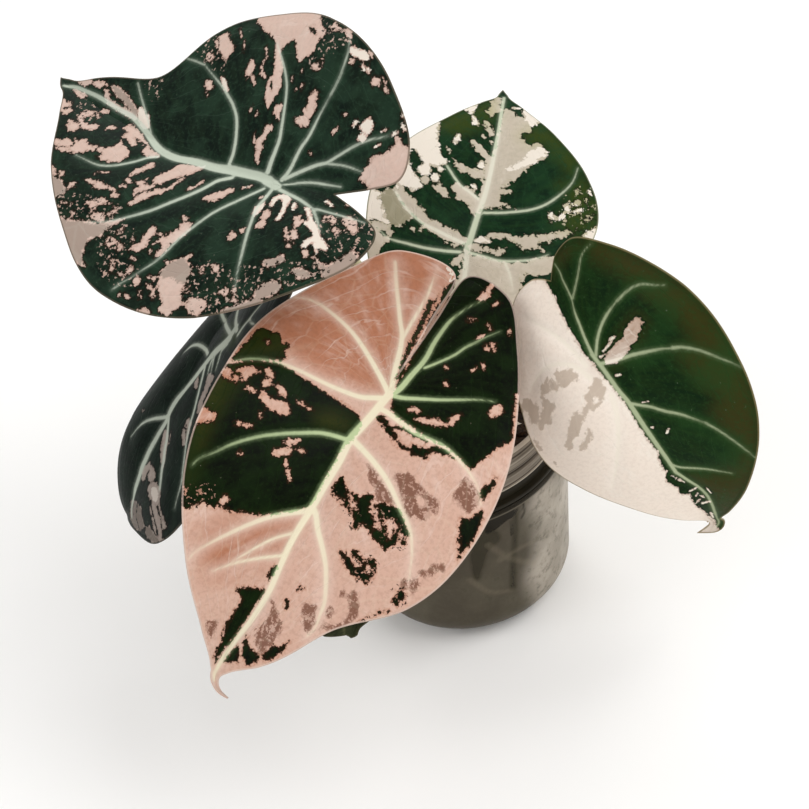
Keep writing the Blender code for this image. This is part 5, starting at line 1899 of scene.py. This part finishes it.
# The chips share the mix's paint, painted shade included
chips = [lump(f"chip_{seed}", form, 3, seed, shaded_bark_mix) for seed, form in enumerate(CHIP_FORMS)]
scattered("bark_chips", chips, CHIPS, CHIP_SIZES)
scattered("pumice_grains", [lump("grain", GRAIN_FORM, 2, 5, pumice.material)], GRAINS, GRAIN_SIZES)

# %% [markdown]
# ## Stem
# The short stem between the petioles is turned too, with rings where old leaves have come off.

# %% Stem
# Radius and height as shares
STEM_OUTLINE = (
    (0.0, 0.0), (0.6, 0.03), (1.0, 0.22), (0.93, 0.38), (1.0, 0.54), (1.0, 0.78),
    (0.8, 0.92), (0.4, 0.98), (0.0, 1.0),
)
RING_PITCH = 1.9
RING_DEPTH = 0.05

paint = Paint("stem skin", Specular_IOR_Level=0.25, Roughness=0.75)
place = paint.place()
height = paint.one_of(place, "Z")
fibre = paint.noise(paint.scaled(place, 900.0, 900.0, 200.0), detail=3.0)
skin = paint.mix(fibre.step(0.35, 0.7), ink(104, 84, 52), ink(156, 140, 96))
rings = (height * (math.tau / (RING_PITCH * MM))).sum("SINE").step(0.75, 1.0)
paint.link(paint.mix(rings * 0.7, skin, ink(66, 48, 30)), "Base Color")
paint.bump(fibre, 0.0004, 0.6)
outs, ups = zip(*STEM_OUTLINE)
outline = [(0, STEM_BOTTOM)]
for share in np.linspace(0, 1, 90)[1:-1]:
    height = STEM_BOTTOM + share * (STEM_TOP - STEM_BOTTOM)
    ring = 1 - RING_DEPTH * max(0.0, math.sin(math.tau * height / RING_PITCH)) ** 3
    outline.append((STEM_RADIUS * float(np.interp(share, ups, outs)) * ring, height))
stem = turned_piece("round_stem_base", outline + [(0, STEM_TOP)], paint.material)
print("stem faces:", len(stem.data.polygons))

# %% [markdown]
# ## Roots
# Three pale roots come out of the drain holes and lie round the foot of the cup. Each falls in a
# curve first, then swings outwards and round, and waves a little.

# %% Roots
# Each root's drain hole, its turn round the foot in degrees, the circle it ends on and its height there
ROOTS = ((5, 75, 28.5, 6.0), (0, -35, 25.0, 9.5), (3, 95, 27.5, 5.5))
ROOT_STEPS = 18
ROOT_RADII = (0.8, 0.4)
# How fast a root falls, when it swings outwards and round, and how high and how often it waves
FALL_RATE = 1.6
SWING_START = 0.35
TURN_FROM = 0.25
WAVE = 1.2
WAVE_RATE = 9
WAVE_START = 0.4

paint = Paint("root skin", Specular_IOR_Level=0.3, Roughness=0.6)
wear = paint.noise(paint.place(), scale=400.0, detail=3.0)
paint.link(paint.mix(wear.step(0.4, 0.65), ink(206, 190, 156), ink(150, 122, 84)), "Base Color")
root_skin = paint.material
for number, (hole, turn, circle, low) in enumerate(ROOTS, start=1):
    points = []
    for along in np.linspace(0, 1, ROOT_STEPS + 1):
        fall = math.sin(min(1.0, along * FALL_RATE) * math.pi / 2)
        reach = HOLE_CIRCLE + (circle - HOLE_CIRCLE) * max(0.0, fall - SWING_START) / (1 - SWING_START)
        swung = turn * max(0.0, along - TURN_FROM) / (1 - TURN_FROM)
        wave = WAVE * math.sin(along * WAVE_RATE) * max(0.0, along - WAVE_START)
        height = POT_FLOOR - (POT_FLOOR - low) * fall + wave
        points.append(round_place(reach, math.radians(hole * 360 / DRAIN_HOLES + swung), height))
    root = tube(f"pale_root_{number}", points, np.linspace(*ROOT_RADII, ROOT_STEPS + 1), root_skin)
    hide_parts(f"root_{number}")
print("roots:", len(ROOTS))
